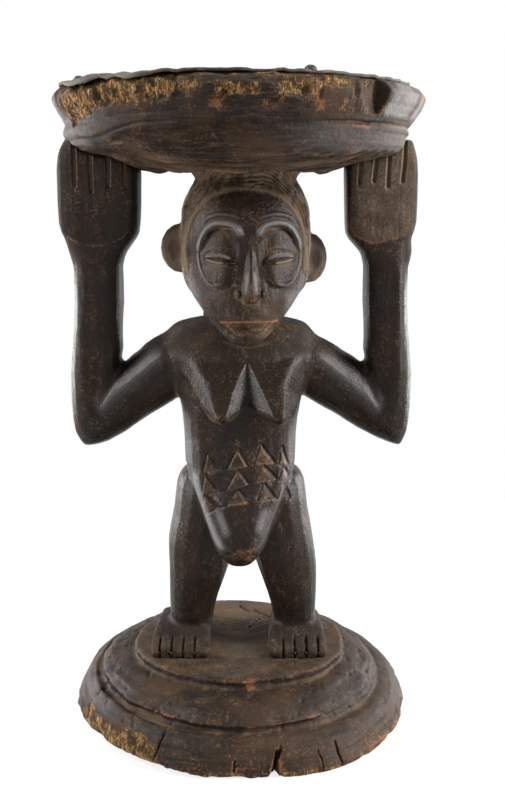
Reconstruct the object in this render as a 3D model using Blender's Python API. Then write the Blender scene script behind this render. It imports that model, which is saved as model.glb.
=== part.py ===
"""Caryatid stool: a round seat carried by a standing figure on a stepped round base.

The wood is one carved log. Its forms are modelled here as separate solids that meet at hairline seams,
and a hide cover is held on the seat by four dome-headed tacks. Metres, +Z up, the figure looks along -Y,
the origin is under the middle of the base. Left and right are the figure's own.
"""

import math
from collections import namedtuple

import bmesh
import bpy
from mathutils import Matrix, Vector

# Seams, and how far the carved forms stand off the middle of the log
SEAM = 0.0003
TRUNK_X = 0.0005
LEGS_X = 0.0025
FEET_X = -0.0007
HEAD_X = 0.0052

# Base: a flared plinth, an undercut step and an oval dais under the feet. The log is a little squarer than round
BASE_RADIUS = 0.1435
LOG_ROUNDNESS = 2.20
PLINTH_HEIGHT = 0.0265
STEP_RADIUS = 0.1205
STEP_HEIGHT = 0.0160
STEP_TILT = 0.030
UNDERCUT = 0.0025
WORN_HEIGHT = 0.0055
WORN_DEPTH = 0.026
DAIS_WIDTH = 0.184
DAIS_DEPTH = 0.160
DAIS_HEIGHT = 0.0080

# Feet, each a block with four cuts between the toes
STANCE = 0.099
FOOT_WIDTH = 0.051
FOOT_LENGTH = 0.076
FOOT_FORWARD = 0.042
INSTEP_HEIGHT = 0.0195
TOE_HEIGHT = 0.0095
TOE_LENGTH = 0.017
TOE_INSET = 0.0078
TOE_PITCH = 0.0098
TOE_CUT_WIDTH = 0.0022

# Legs
INSEAM = 0.055
ANKLE_WIDTH = 0.035
CALF_WIDTH = 0.043
THIGH_WIDTH = 0.056
LEG_FRONT = 0.029
LEG_BACK = 0.051
LEG_SINK = 0.008
HIP_RISE = 0.081

# Trunk, from the tip of the belly to the root of the neck
BELLY_RISE = 0.0215
TRUNK_HEIGHT = 0.189
SHOULDER_WIDTH = 0.128
WAIST_WIDTH = 0.0935
HIP_WIDTH = 0.112
BELLY_REACH = 0.071
BACK_REACH = 0.039
BREAST_MIDDLE = 0.007
BREAST_SPACING = 0.047
BREAST_TIP = 0.006
BREAST_REACH = 0.032
BREAST_LENGTH = 0.055

# Arms: the upper arm runs out and down, the forearm stands upright and the palm bears the seat
ARM_DEPTH = 0.041
RIGHT_ARM_THIN = 0.0008
LEFT_ARM_THIN = 0.0035
ELBOW_DROP = 0.1110
ELBOW_HEIGHT = 0.0725
RIGHT_FOREARM_INSET = 0.0310
LEFT_FOREARM_INSET = 0.0265
RIGHT_FOREARM_WIDTH = 0.0400
LEFT_FOREARM_WIDTH = 0.0365
RIGHT_HAND_INSET = 0.0340
LEFT_HAND_INSET = 0.0325
RIGHT_HAND_WIDTH = 0.066
LEFT_HAND_WIDTH = 0.0595
RIGHT_HAND_TAPER = 0.011
LEFT_HAND_TAPER = 0.005
HAND_DEPTH = 0.041
HAND_LENGTH = 0.100
HAND_LAP = 0.023
RIGHT_FINGER_PITCH = 0.0133
LEFT_FINGER_PITCH = 0.0115
FINGER_INSET = 0.0100
FINGER_CUT_WIDTH = 0.0026
FINGER_CUT_DEPTH = 0.0030
FINGER_LENGTH = 0.034

# Neck and head
NECK_WIDTH = 0.066
NECK_DEPTH = 0.050
CHIN_DROP = 0.013
HEAD_HEIGHT = 0.133
HEAD_WIDTH = 0.106
FACE_REACH = 0.071
HEAD_BACK = 0.053
EYE_SPACING = 0.048
SOCKET_WIDTH = 0.038
SOCKET_HEIGHT = 0.047
SOCKET_DEPTH = 0.0105
LID_WIDTH = 0.031
LID_HEIGHT = 0.0125
BROW_HEIGHT = 0.0058
NOSE_WIDTH = 0.0180
NOSE_REACH = 0.0125
MOUTH_WIDTH = 0.052
LIP_HEIGHT = 0.0085
EAR_HEIGHT = 0.040
EAR_THICKNESS = 0.017
RIGHT_EAR_REACH = 0.0175
LEFT_EAR_REACH = 0.0145
RIGHT_EAR_LEVEL = 0.535
LEFT_EAR_LEVEL = 0.475

# Seat, hide cover and tacks
SEAT_RADIUS = 0.147
SEAT_TOP_RADIUS = 0.1375
SEAT_NECK_RADIUS = 0.1345
SEAT_RIM_HEIGHT = 0.0310
SEAT_TIER_HEIGHT = 0.0300
SEAT_TILT = 0.018
SEAT_FOOT_RADIUS = 0.068
BREAK_ANGLE = math.radians(46.0)
BREAK_SPAN = math.radians(11.0)
BREAK_DEPTH = 0.013
DISH_RADIUS = 0.100
DISH_DEPTH = 0.0030
DISH_SLOPE = 0.016
COVER_THICKNESS = 0.0024
COVER_MARGIN = 0.0025
TACK_COUNT = 4
TACK_FIRST_ANGLE = math.radians(-67.0)
TACK_INSET = 0.0085
TACK_HEAD_RADIUS = 0.0048
TACK_HEAD_HEIGHT = 0.0042
TACK_SHANK_RADIUS = 0.0011
TACK_LENGTH = 0.014

# Levels that stack up from the floor
BASE_TOP = PLINTH_HEIGHT + STEP_HEIGHT + DAIS_HEIGHT
ANKLE_Z = BASE_TOP + INSTEP_HEIGHT
CROTCH_Z = ANKLE_Z + INSEAM
TRUNK_Z = CROTCH_Z + BELLY_RISE
SHOULDER_Z = TRUNK_Z + TRUNK_HEIGHT
CHIN_Z = SHOULDER_Z - CHIN_DROP
SEAT_Z = CHIN_Z + HEAD_HEIGHT
RIM_Z = SEAT_Z + SEAT_TIER_HEIGHT
SEAT_TOP = RIM_Z + SEAT_RIM_HEIGHT
HAND_TOP = SEAT_Z + HAND_LAP
WRIST_Z = HAND_TOP - HAND_LENGTH
ELBOW_Z = SHOULDER_Z - ELBOW_DROP
TACK_RING = SEAT_TOP_RADIUS - TACK_INSET
EYE_LEVEL = 0.500

ROUND_SIDES = 52
BODY_SIDES = 26
LIMB_SIDES = 16
SMALL_SIDES = 10
X_AXIS = Vector((1, 0, 0))
Y_AXIS = Vector((0, 1, 0))
Z_AXIS = Vector((0, 0, 1))

Side = namedtuple("Side", "name sign arm_thin forearm_x forearm_width hand_x hand_width hand_taper finger_pitch "
                          "ear_reach ear_level")
SIDES = (
    Side("right", -1, RIGHT_ARM_THIN, SEAT_RADIUS - RIGHT_FOREARM_INSET, RIGHT_FOREARM_WIDTH,
         SEAT_RADIUS - RIGHT_HAND_INSET, RIGHT_HAND_WIDTH, RIGHT_HAND_TAPER, RIGHT_FINGER_PITCH, RIGHT_EAR_REACH,
         RIGHT_EAR_LEVEL),
    Side("left", 1, LEFT_ARM_THIN, SEAT_RADIUS - LEFT_FOREARM_INSET, LEFT_FOREARM_WIDTH,
         SEAT_RADIUS - LEFT_HAND_INSET, LEFT_HAND_WIDTH, LEFT_HAND_TAPER, LEFT_FINGER_PITCH, LEFT_EAR_REACH,
         LEFT_EAR_LEVEL),
)
Station = namedtuple("Station", "centre across along half_across half_along roundness")


def clear_scene():
    for obj in list(bpy.data.objects):
        bpy.data.objects.remove(obj)


def make_material(name, colour, roughness, metallic=0.0):
    material = bpy.data.materials.new(name)
    material.use_nodes = True
    shader = material.node_tree.nodes["Principled BSDF"]
    shader.inputs["Base Color"].default_value = (*colour, 1.0)
    shader.inputs["Roughness"].default_value = roughness
    shader.inputs["Metallic"].default_value = metallic
    return material


def add_object(name, bm, material=None):
    """Turns a bmesh into a scene object with smooth round faces and sharp edges."""
    bmesh.ops.recalc_face_normals(bm, faces=bm.faces)
    mesh = bpy.data.meshes.new(name)
    bm.to_mesh(mesh)
    bm.free()
    mesh.shade_smooth()
    mesh.set_sharp_from_angle(angle=math.radians(40))
    obj = bpy.data.objects.new(name, mesh)
    bpy.context.scene.collection.objects.link(obj)
    if material:
        mesh.materials.append(material)
    return obj


def level(x, z, half_width, front, back, roundness=2.0):
    """A level station of an upright form: its half width and how far it reaches in front and behind."""
    centre = Vector((x, (front + back) / 2, z))
    return Station(centre, X_AXIS, Y_AXIS, half_width, (back - front) / 2, roundness)


def disc(z, radius, half_depth=None, tilt=0.0):
    """A round or oval station on the axis of the log, which can rise to the figure's left."""
    half_depth = radius if half_depth is None else half_depth
    return Station(Vector((0, 0, z)), Vector((1, 0, tilt)), Y_AXIS, radius, half_depth, 2.0)


def blend(stations, at):
    """The Catmull-Rom blend of the stations at a position counted in stations."""
    last = len(stations) - 1
    i = min(int(at), last - 1)
    t = at - i
    a, b, c, d = (stations[min(max(k, 0), last)] for k in (i - 1, i, i + 1, i + 2))

    def mix(p, q, r, s):
        return q + (r - p) * (t / 2) + (2 * p - 5 * q + 4 * r - s) * (t * t / 2) + (
            3 * q - p - 3 * r + s) * (t * t * t / 2)

    across = mix(a.across, b.across, c.across, d.across).normalized()
    along = mix(a.along, b.along, c.along, d.along).normalized()
    sizes = [mix(*values) for values in zip(a[3:], b[3:], c[3:], d[3:])]
    return Station(mix(a.centre, b.centre, c.centre, d.centre), across, along, *sizes)


def smooth(stations, steps):
    """More stations on a smooth curve through the given ones, with this many steps to a span."""
    count = (len(stations) - 1) * steps
    return [blend(stations, k / steps) for k in range(count + 1)]


def ring_point(station, turn):
    """A point of the station's superellipse, at an angle round it."""
    power = 2 / station.roundness
    c, s = math.cos(turn), math.sin(turn)
    across = math.copysign(abs(c) ** power, c) * station.half_across
    along = math.copysign(abs(s) ** power, s) * station.half_along
    return station.centre + station.across * across + station.along * along


def loft(stations, sides):
    """A closed form: a capped ring that is extruded from station to station."""
    bm = bmesh.new()
    turn = bm.verts.layers.float.new("turn")
    verts = bmesh.ops.create_circle(bm, cap_ends=True, segments=sides, radius=1)["verts"]
    for vert in verts:
        vert[turn] = math.atan2(vert.co.y, vert.co.x)
        vert.co = ring_point(stations[0], vert[turn])
    edges = list(bm.edges)
    for station in stations[1:]:
        made = bmesh.ops.extrude_edge_only(bm, edges=edges)["geom"]
        edges = [item for item in made if isinstance(item, bmesh.types.BMEdge)]
        for vert in (item for item in made if isinstance(item, bmesh.types.BMVert)):
            vert.co = ring_point(station, vert[turn])
    bmesh.ops.contextual_create(bm, geom=edges)
    return bm


def ellipsoid(centre, radii, segments=16, rings=8):
    bm = bmesh.new()
    place = Matrix.Translation(centre) @ Matrix.Diagonal((*radii, 1.0))
    bmesh.ops.create_uvsphere(bm, u_segments=segments, v_segments=rings, radius=1.0, matrix=place)
    return bm


def block(bm, low, high):
    """Adds a box between two corners to a bmesh."""
    low, high = Vector(low), Vector(high)
    place = Matrix.Translation((low + high) / 2) @ Matrix.Diagonal((*(high - low), 1.0))
    bmesh.ops.create_cube(bm, size=1.0, matrix=place)


def apply_modifiers(obj):
    """Puts the evaluated mesh in place of the object's own."""
    graph = bpy.context.evaluated_depsgraph_get()
    mesh = bpy.data.meshes.new_from_object(obj.evaluated_get(graph))
    obj.modifiers.clear()
    old, obj.data = obj.data, mesh
    bpy.data.meshes.remove(old)


def combine(obj, operation, tool):
    """Joins a helper to an object, or cuts it out, and removes the helper."""
    modifier = obj.modifiers.new(operation.lower(), "BOOLEAN")
    modifier.operation = operation
    modifier.object = tool
    apply_modifiers(obj)
    bpy.data.objects.remove(tool)


def join(obj, bm):
    combine(obj, "UNION", add_object("joined_form", bm))


def cut(obj, bm):
    combine(obj, "DIFFERENCE", add_object("cutter", bm))


def cut_seam(obj, neighbour):
    """Cuts an object back from its neighbour, which leaves a seam between them."""
    bm = bmesh.new()
    bm.from_mesh(neighbour.data)
    bm.normal_update()
    moves = [vert.normal * SEAM for vert in bm.verts]
    for vert, move in zip(bm.verts, moves):
        vert.co += move
    cut(obj, bm)


def log_section(z, radius, tilt=0.0):
    """A section of the log, which can rise to the figure's right."""
    return Station(Vector((0, 0, z)), Vector((1, 0, -tilt)), Y_AXIS, radius, radius, LOG_ROUNDNESS)


def make_base(material):
    plinth = PLINTH_HEIGHT
    step = plinth + STEP_HEIGHT
    flare = BASE_RADIUS - STEP_RADIUS
    shelf = STEP_RADIUS - DAIS_WIDTH / 2
    stations = [
        log_section(0.0, BASE_RADIUS - 0.0015),
        log_section(plinth * 0.15, BASE_RADIUS),
        log_section(plinth * 0.45, BASE_RADIUS - flare * 0.19, STEP_TILT * 0.3),
        log_section(plinth * 0.75, BASE_RADIUS - flare * 0.42, STEP_TILT * 0.7),
        log_section(plinth * 0.95, BASE_RADIUS - flare * 0.78, STEP_TILT),
        disc(plinth, STEP_RADIUS - UNDERCUT, tilt=-STEP_TILT),
        disc(plinth + STEP_HEIGHT * 0.12, STEP_RADIUS - UNDERCUT * 0.3, tilt=-STEP_TILT),
        disc(plinth + STEP_HEIGHT * 0.32, STEP_RADIUS, tilt=-STEP_TILT),
        disc(plinth + STEP_HEIGHT * 0.66, STEP_RADIUS - shelf * 0.25, tilt=-STEP_TILT * 0.8),
        disc(plinth + STEP_HEIGHT * 0.90, STEP_RADIUS - shelf * 0.65, tilt=-STEP_TILT * 0.4),
        disc(step, DAIS_WIDTH / 2 + 0.0015, DAIS_DEPTH / 2 + 0.0015),
        disc(step + DAIS_HEIGHT * 0.25, DAIS_WIDTH / 2, DAIS_DEPTH / 2),
        disc(step + DAIS_HEIGHT * 0.80, DAIS_WIDTH / 2 - 0.0005, DAIS_DEPTH / 2 - 0.0005),
        disc(BASE_TOP, DAIS_WIDTH / 2 - 0.002, DAIS_DEPTH / 2 - 0.002),
    ]
    base = add_object("base", loft(stations, ROUND_SIDES), material)
    cut(base, worn_edge())
    return base


def worn_edge():
    """A wedge that takes the lower edge off the plinth at the figure's front right."""
    reach = BASE_RADIUS * 1.03
    slope = math.atan2(WORN_HEIGHT, WORN_DEPTH)
    place = Matrix.Rotation(math.radians(-130), 4, "Z") @ Matrix.Translation((BASE_RADIUS - WORN_DEPTH, 0, 0))
    place = place @ Matrix.Rotation(-slope, 4, "Y")
    bm = bmesh.new()
    block(bm, (-reach, -reach, -reach), (reach, reach, 0))
    bmesh.ops.transform(bm, matrix=place, verts=bm.verts)
    bmesh.ops.bisect_plane(bm, geom=bm.verts[:] + bm.edges[:] + bm.faces[:], plane_co=(0, 0, -WORN_HEIGHT),
                           plane_no=(0, 0, -1), clear_outer=True)
    bmesh.ops.holes_fill(bm, edges=bm.edges)
    return bm


def foot_station(x, y, height, half_width):
    centre = Vector((x, y, BASE_TOP + SEAM + height / 2))
    return Station(centre, X_AXIS, Z_AXIS, half_width, height / 2, 4.0)


def make_foot(name, side, material):
    x = FEET_X + side.sign * STANCE / 2
    half = FOOT_WIDTH / 2
    heel = FOOT_LENGTH - FOOT_FORWARD
    toe = -FOOT_FORWARD
    stations = [
        foot_station(x, heel, INSTEP_HEIGHT * 0.55, half * 0.62),
        foot_station(x, heel - 0.004, INSTEP_HEIGHT * 0.86, half * 0.80),
        foot_station(x, heel * 0.35, INSTEP_HEIGHT, half * 0.90),
        foot_station(x, toe + TOE_LENGTH + 0.010, INSTEP_HEIGHT * 0.96, half * 0.95),
        foot_station(x, toe + TOE_LENGTH, (INSTEP_HEIGHT + TOE_HEIGHT) * 0.47, half),
        foot_station(x, toe + 0.003, TOE_HEIGHT, half),
        foot_station(x, toe, TOE_HEIGHT * 0.72, half * 0.97),
    ]
    foot = add_object(name, loft(smooth(stations, 2), LIMB_SIDES), material)
    cuts = bmesh.new()
    for k in range(4):
        middle = x + side.sign * (half - TOE_INSET - TOE_PITCH * k)
        block(cuts, (middle - TOE_CUT_WIDTH / 2, toe - 0.005, BASE_TOP + TOE_HEIGHT * 0.35),
              (middle + TOE_CUT_WIDTH / 2, toe + TOE_LENGTH * 0.85, BASE_TOP + INSTEP_HEIGHT))
    cut(foot, cuts)
    return foot


def leg_form(side):
    """A leg from inside the foot to the top of the hip."""
    ankle = STANCE / 2 - FOOT_WIDTH * 0.09
    thigh = THIGH_WIDTH / 2
    hip = HIP_WIDTH / 2 - thigh
    rise = CROTCH_Z - ANKLE_Z

    def section(x, z, half_width, front, back):
        middle = LEGS_X if z < CROTCH_Z else TRUNK_X
        return level(middle + side.sign * x, z, half_width, -LEG_FRONT * front, LEG_BACK * back, 2.3)

    stations = [
        section(ankle, ANKLE_Z - LEG_SINK, ANKLE_WIDTH * 0.50, 0.62, 0.41),
        section(ankle, ANKLE_Z + rise * 0.08, ANKLE_WIDTH * 0.53, 0.66, 0.41),
        section(ankle - ANKLE_WIDTH * 0.06, ANKLE_Z + rise * 0.45, CALF_WIDTH / 2, 0.76, 0.49),
        section((ankle + hip + thigh * 0.14) / 2, CROTCH_Z - rise * 0.10, thigh * 0.93, 0.93, 0.65),
        section(hip + thigh * 0.25, CROTCH_Z + HIP_RISE * 0.22, thigh, 1.00, 0.84),
        section(hip + thigh * 0.07, CROTCH_Z + HIP_RISE * 0.55, thigh, 0.97, 1.00),
        section(hip, CROTCH_Z + HIP_RISE * 0.85, thigh * 0.96, 0.76, 0.98),
        section(hip - thigh * 0.07, CROTCH_Z + HIP_RISE * 0.97, thigh * 0.79, 0.41, 0.78),
        section(hip - thigh * 0.21, CROTCH_Z + HIP_RISE, thigh * 0.43, 0.14, 0.55),
    ]
    return loft(smooth(stations, 2), LIMB_SIDES)


def keep_side(bm, z, direction):
    """Cuts a form at a level and keeps what lies up (1) or down (-1) from there."""
    bmesh.ops.bisect_plane(bm, geom=bm.verts[:] + bm.edges[:] + bm.faces[:], plane_co=(0, 0, z),
                           plane_no=(0, 0, -direction), clear_outer=True)
    bmesh.ops.holes_fill(bm, edges=bm.edges)
    return bm


def make_leg(name, side, foot, torso, material):
    bm = keep_side(leg_form(side), CROTCH_Z - SEAM, -1)
    leg = add_object(name, bm, material)
    cut_seam(leg, foot)
    cut_seam(leg, torso)
    return leg


def trunk_level(share, half_width, front, back, roundness=2.3):
    return level(TRUNK_X, TRUNK_Z + TRUNK_HEIGHT * share, half_width, -BELLY_REACH * front, BACK_REACH * back,
                 roundness)


def make_torso(material):
    """The trunk with its overhanging belly, the hips behind it and the two breasts."""
    waist = WAIST_WIDTH / 2
    shoulder = SHOULDER_WIDTH / 2
    trunk = [
        trunk_level(-0.024, waist * 0.19, 0.93, -1.18),
        trunk_level(0.028, waist * 0.42, 1.00, -0.56),
        trunk_level(0.110, waist * 0.57, 1.00, 0.05),
        trunk_level(0.200, waist * 0.72, 0.92, 0.41),
        trunk_level(0.290, waist * 0.87, 0.82, 0.62),
        trunk_level(0.370, waist * 0.98, 0.72, 0.69),
        trunk_level(0.500, waist, 0.63, 0.79),
        trunk_level(0.655, waist + (shoulder - waist) * 0.20, 0.62, 0.90),
        trunk_level(0.765, waist + (shoulder - waist) * 0.68, 0.59, 0.97),
        trunk_level(0.860, shoulder, 0.54, 1.00, 2.5),
        trunk_level(0.930, shoulder * 0.96, 0.46, 0.95, 2.5),
        trunk_level(0.975, NECK_WIDTH * 0.84, 0.39, 0.87),
        trunk_level(1.000, NECK_WIDTH * 0.56, 0.34, 0.79),
    ]
    torso = add_object("torso", loft(smooth(trunk, 2), BODY_SIDES), material)
    for side in SIDES:
        join(torso, keep_side(leg_form(side), CROTCH_Z, 1))
    for side in SIDES:
        join(torso, breast_form(side))
    return torso


def breast_form(side):
    """A wedge that hangs from the chest: a flat front, an outer and an inner face and an underside meet at its tip."""
    out = BREAST_SPACING / 2
    chest = BELLY_REACH * 0.60
    length = BREAST_LENGTH
    tip_z = TRUNK_Z + TRUNK_HEIGHT * 0.617
    half_tip = BREAST_TIP / 2
    near = side.sign * BREAST_MIDDLE
    corners = [
        # off the trunk's middle, in front of the chest, above the tip
        (out * 2.36, -BREAST_REACH * 0.56, length * 0.90),
        (out * 2.02, -BREAST_REACH * 0.66, length * 0.33),
        (out * 0.06 + near, BREAST_REACH * 0.06, length * 0.71),
        (out * 0.06 + near, BREAST_REACH * 0.02, length * 0.29),
        (out + half_tip + near, BREAST_REACH, half_tip),
        (out - half_tip + near, BREAST_REACH, half_tip),
        (out + half_tip + near, BREAST_REACH * 0.94, -half_tip),
        (out - half_tip + near, BREAST_REACH * 0.94, -half_tip),
        (out * 1.90, -chest, length * 0.70),
        (out * 0.20 + near, -chest, length * 0.52),
        (out * 1.05 + near, -BREAST_REACH * 0.35, -length * 0.18),
        (out * 1.20, -BREAST_REACH * 0.60, length * 1.12),
    ]
    bm = bmesh.new()
    for x, proud, rise in corners:
        bm.verts.new((TRUNK_X + side.sign * x, -chest - proud, tip_z + rise))
    hull = bmesh.ops.convex_hull(bm, input=bm.verts)
    bmesh.ops.delete(bm, geom=hull["geom_interior"], context="VERTS")
    return bm


def arm_section(side, outer, inner, half_depth, roundness):
    """A section of an arm between a point of its outer outline and one of its inner outline, as x and z."""
    outer = Vector((side.sign * outer[0], 0, outer[1]))
    inner = Vector((side.sign * inner[0], 0, inner[1]))
    return Station((outer + inner) / 2, (inner - outer).normalized(), Y_AXIS, (inner - outer).length / 2, half_depth,
                   roundness)


def elbow_section(side, gap):
    """The mitred section through the elbow, moved up the arm by the seam for the upper arm."""
    x = side.forearm_x
    crook = (x - side.forearm_width * 0.43 - gap, ELBOW_Z + ELBOW_HEIGHT + gap)
    return arm_section(side, (x + ARM_DEPTH * 0.38 - gap, ELBOW_Z + ELBOW_HEIGHT * 0.028), crook, ARM_DEPTH / 2, 2.0)


def make_upper_arm(name, side, torso, material):
    x = side.forearm_x
    half = ARM_DEPTH / 2
    crook = (x - side.forearm_width * 0.43, ELBOW_Z + ELBOW_HEIGHT)
    armpit = (SHOULDER_WIDTH * 0.375, ELBOW_Z + ELBOW_HEIGHT * 0.63 + side.arm_thin)
    top = (SHOULDER_WIDTH * 0.485, ELBOW_Z + ELBOW_HEIGHT * 1.43 - side.arm_thin)

    def between(a, b, share):
        return a[0] + (b[0] - a[0]) * share, a[1] + (b[1] - a[1]) * share

    low = (x - ARM_DEPTH * 0.10, ELBOW_Z + ELBOW_HEIGHT * 0.076 + side.arm_thin)
    stations = [
        arm_section(side, (armpit[0] * 0.58, armpit[1] + half * 0.7), (top[0] * 0.58, top[1] + half * 0.15), half * 1.1,
                    2.0),
        arm_section(side, between(armpit, low, 0.12), between(top, crook, 0.15), half * 1.05, 1.8),
        arm_section(side, between(armpit, low, 0.50), between(top, crook, 0.60), half, 1.7),
        arm_section(side, low, between(top, crook, 0.88), half, 1.8),
        elbow_section(side, SEAM),
    ]
    arm = add_object(name, loft(smooth(stations, 2), LIMB_SIDES), material)
    cut_seam(arm, torso)
    return arm


def make_forearm(name, side, material):
    x = side.forearm_x
    half = side.forearm_width / 2
    deep = ARM_DEPTH / 2
    crook_z = ELBOW_Z + ELBOW_HEIGHT
    rise = WRIST_Z - crook_z
    stations = [
        elbow_section(side, 0.0),
        arm_section(side, (x + half * 1.15, ELBOW_Z + ELBOW_HEIGHT * 0.19), (x - half * 0.86, crook_z + rise * 0.03),
                    deep, 2.1),
        arm_section(side, (x + half * 1.28, ELBOW_Z + ELBOW_HEIGHT * 0.57), (x - half * 0.88, crook_z + rise * 0.10),
                    deep, 2.2),
        arm_section(side, (x + half * 1.15, crook_z + rise * 0.20), (x - half * 0.92, crook_z + rise * 0.30), deep,
                    2.4),
        arm_section(side, (x + half, crook_z + rise * 0.65), (x - half, crook_z + rise * 0.65), deep * 0.95, 2.5),
        arm_section(side, (x + half, WRIST_Z), (x - half, WRIST_Z), deep * 0.90, 2.5),
    ]
    return add_object(name, loft(smooth(stations, 2), LIMB_SIDES), material)


def make_hand(name, side, seat, material):
    """A flat palm that stands under the seat's edge, with four cuts between the fingers."""
    half = side.hand_width / 2
    wrist = side.forearm_width / 2
    deep = HAND_DEPTH / 2
    outer = side.hand_x + half
    inner = side.hand_x - half
    rows = (
        # share of the length, outer edge, inner edge, half depth, roundness
        (0.000, side.forearm_x + wrist, side.forearm_x - wrist, deep * 0.88, 2.5),
        (0.110, side.forearm_x + wrist * 1.15, side.forearm_x - wrist * 1.15, deep * 0.90, 2.7),
        (0.230, outer - half * 0.11, inner + half * 0.13, deep * 0.98, 3.2),
        (0.350, outer, inner + half * 0.04, deep, 4.0),
        (0.720, outer, inner, deep, 4.5),
        (0.880, outer - side.hand_taper * 0.3, inner, deep, 4.0),
        (1.000, outer - side.hand_taper, inner, deep * 0.95, 3.5),
    )
    stations = []
    for share, right, left, half_depth, roundness in rows:
        z = WRIST_Z + SEAM + HAND_LENGTH * share
        stations.append(arm_section(side, (right, z), (left, z), half_depth, roundness))
    hand = add_object(name, loft(smooth(stations, 2), LIMB_SIDES + 8), material)
    cuts = bmesh.new()
    for k in range(1, 5):
        middle = side.sign * (inner + FINGER_INSET + side.finger_pitch * (k - 1))
        block(cuts, (middle - FINGER_CUT_WIDTH / 2, -deep - 0.005, HAND_TOP - FINGER_LENGTH),
              (middle + FINGER_CUT_WIDTH / 2, -deep + FINGER_CUT_DEPTH, HAND_TOP + 0.005))
    cut(hand, cuts)
    cut_seam(hand, seat)
    return hand


HEAD_OUTLINE = (
    # share of the height, of the width, of the face's reach and of the back's
    (0.000, 0.26, 0.93, -0.75),
    (0.055, 0.48, 1.00, -0.30),
    (0.150, 0.64, 0.99, 0.38),
    (0.230, 0.75, 0.93, 0.64),
    (0.340, 0.92, 0.86, 0.83),
    (0.480, 0.99, 0.83, 0.94),
    (0.620, 1.00, 0.83, 1.00),
    (0.740, 0.97, 0.79, 1.00),
    (0.830, 0.91, 0.72, 0.96),
    (0.900, 0.82, 0.63, 0.88),
    (0.955, 0.75, 0.58, 0.83),
    (1.000, 0.84, 0.62, 0.86),
)


def head_stations():
    return [
        level(HEAD_X, CHIN_Z + (HEAD_HEIGHT - SEAM) * share, HEAD_WIDTH / 2 * width, -FACE_REACH * front,
              HEAD_BACK * back, 2.2)
        for share, width, front, back in HEAD_OUTLINE
    ]


def face_front(share, x):
    """How far forward the head reaches at a height, this far from its middle."""
    levels = [row[0] for row in HEAD_OUTLINE]
    i = max(k for k in range(len(levels) - 1) if levels[k] <= share)
    at = i + (share - levels[i]) / (levels[i + 1] - levels[i])
    station = blend(head_stations(), at)
    power = station.roundness
    inside = max(0.0, 1 - abs(x / station.half_across) ** power)
    return station.centre.y - station.half_along * inside ** (1 / power)


def face_point(share, x, proud):
    """A point of the face, this far from its middle and this proud of it."""
    return Vector((HEAD_X + x, face_front(share, x) - proud, CHIN_Z + HEAD_HEIGHT * share))


def add_nose(head):
    rows = (
        # share of the head's height, of the nose's half width and of its reach
        (0.640, 0.34, 0.14), (0.500, 0.42, 0.48), (0.360, 0.56, 0.84), (0.285, 0.96, 1.00), (0.250, 0.78, 0.72),
    )
    stations = [
        Station(face_point(share, 0, 0), X_AXIS, Y_AXIS, NOSE_WIDTH / 2 * width, NOSE_REACH * reach, 1.7)
        for share, width, reach in rows
    ]
    join(head, loft(smooth(stations, 2), SMALL_SIDES))


def add_brow(head, side):
    """An arched ridge over the eye, which the eye's hollow leaves standing."""
    half = BROW_HEIGHT / 2
    stations = []
    for k in range(7):
        turn = math.radians(18 + 150 * k / 6)
        x = side * (EYE_SPACING / 2 - SOCKET_WIDTH * 0.52 * math.cos(turn))
        share = EYE_LEVEL + 0.045 + SOCKET_HEIGHT * 0.46 / HEAD_HEIGHT * math.sin(turn)
        tangent = Vector((side * math.sin(turn), 0, math.cos(turn)))
        outward = Vector((-tangent.z, 0, tangent.x)) * side
        stations.append(Station(face_point(share, x, 0.0), outward.normalized(), Y_AXIS, half, half, 2.0))
    join(head, loft(stations, SMALL_SIDES - 2))


def add_eye(head, side):
    """A hollow round the eye and the closed lids, an almond, in it."""
    x = side * EYE_SPACING / 2
    hollow = (SOCKET_WIDTH / 2, SOCKET_DEPTH, SOCKET_HEIGHT / 2)
    cut(head, ellipsoid(face_point(EYE_LEVEL + 0.015, x, SOCKET_DEPTH * 0.6), hollow, 14, 8))
    lids = (LID_WIDTH / 2, SOCKET_DEPTH * 0.50, LID_HEIGHT / 2)
    join(head, ellipsoid(face_point(EYE_LEVEL, x, -SOCKET_DEPTH * 0.33), lids, 12, 6))


def add_mouth(head):
    for share, width in ((0.150, 1.0), (0.090, 0.88)):
        lip = (MOUTH_WIDTH / 2 * width, MOUTH_WIDTH * 0.28, LIP_HEIGHT / 2)
        join(head, ellipsoid(face_point(share, 0, -MOUTH_WIDTH * 0.17), lip, 16, 6))


def add_ear(head, side):
    """A round ear that opens to the front."""
    x = HEAD_X + side.sign * HEAD_WIDTH * 0.49
    z = CHIN_Z + HEAD_HEIGHT * side.ear_level
    reach = side.ear_reach
    half = EAR_THICKNESS / 2
    join(head, ellipsoid(Vector((x, -half * 0.5, z)), (reach, half, EAR_HEIGHT / 2), 14, 8))
    hollow = Vector((x + side.sign * reach * 0.3, -half * 1.65, z))
    cut(head, ellipsoid(hollow, (reach * 0.5, half * 0.75, EAR_HEIGHT * 0.31), 12, 6))


def make_head(torso, material):
    head = add_object("head", loft(smooth(head_stations(), 2), BODY_SIDES + 6), material)
    for side in SIDES:
        add_eye(head, side.sign)
    for side in SIDES:
        add_brow(head, side.sign)
        add_ear(head, side)
    add_nose(head)
    add_mouth(head)
    cut_seam(head, torso)
    return head


def make_neck(head, material):
    front, back = -NECK_DEPTH * 0.42, NECK_DEPTH * 0.58
    half = NECK_WIDTH / 2
    top = CHIN_Z + HEAD_HEIGHT * 0.24
    x = (TRUNK_X + HEAD_X) / 2
    stations = [
        level(x, SHOULDER_Z + SEAM, half + 0.001, front - 0.001, back + 0.001),
        level(x, (SHOULDER_Z + top) / 2, half, front, back),
        level(x, top, half - 0.003, front, back - 0.003),
    ]
    neck = add_object("neck", loft(stations, BODY_SIDES), material)
    cut_seam(neck, head)
    return neck


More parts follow.
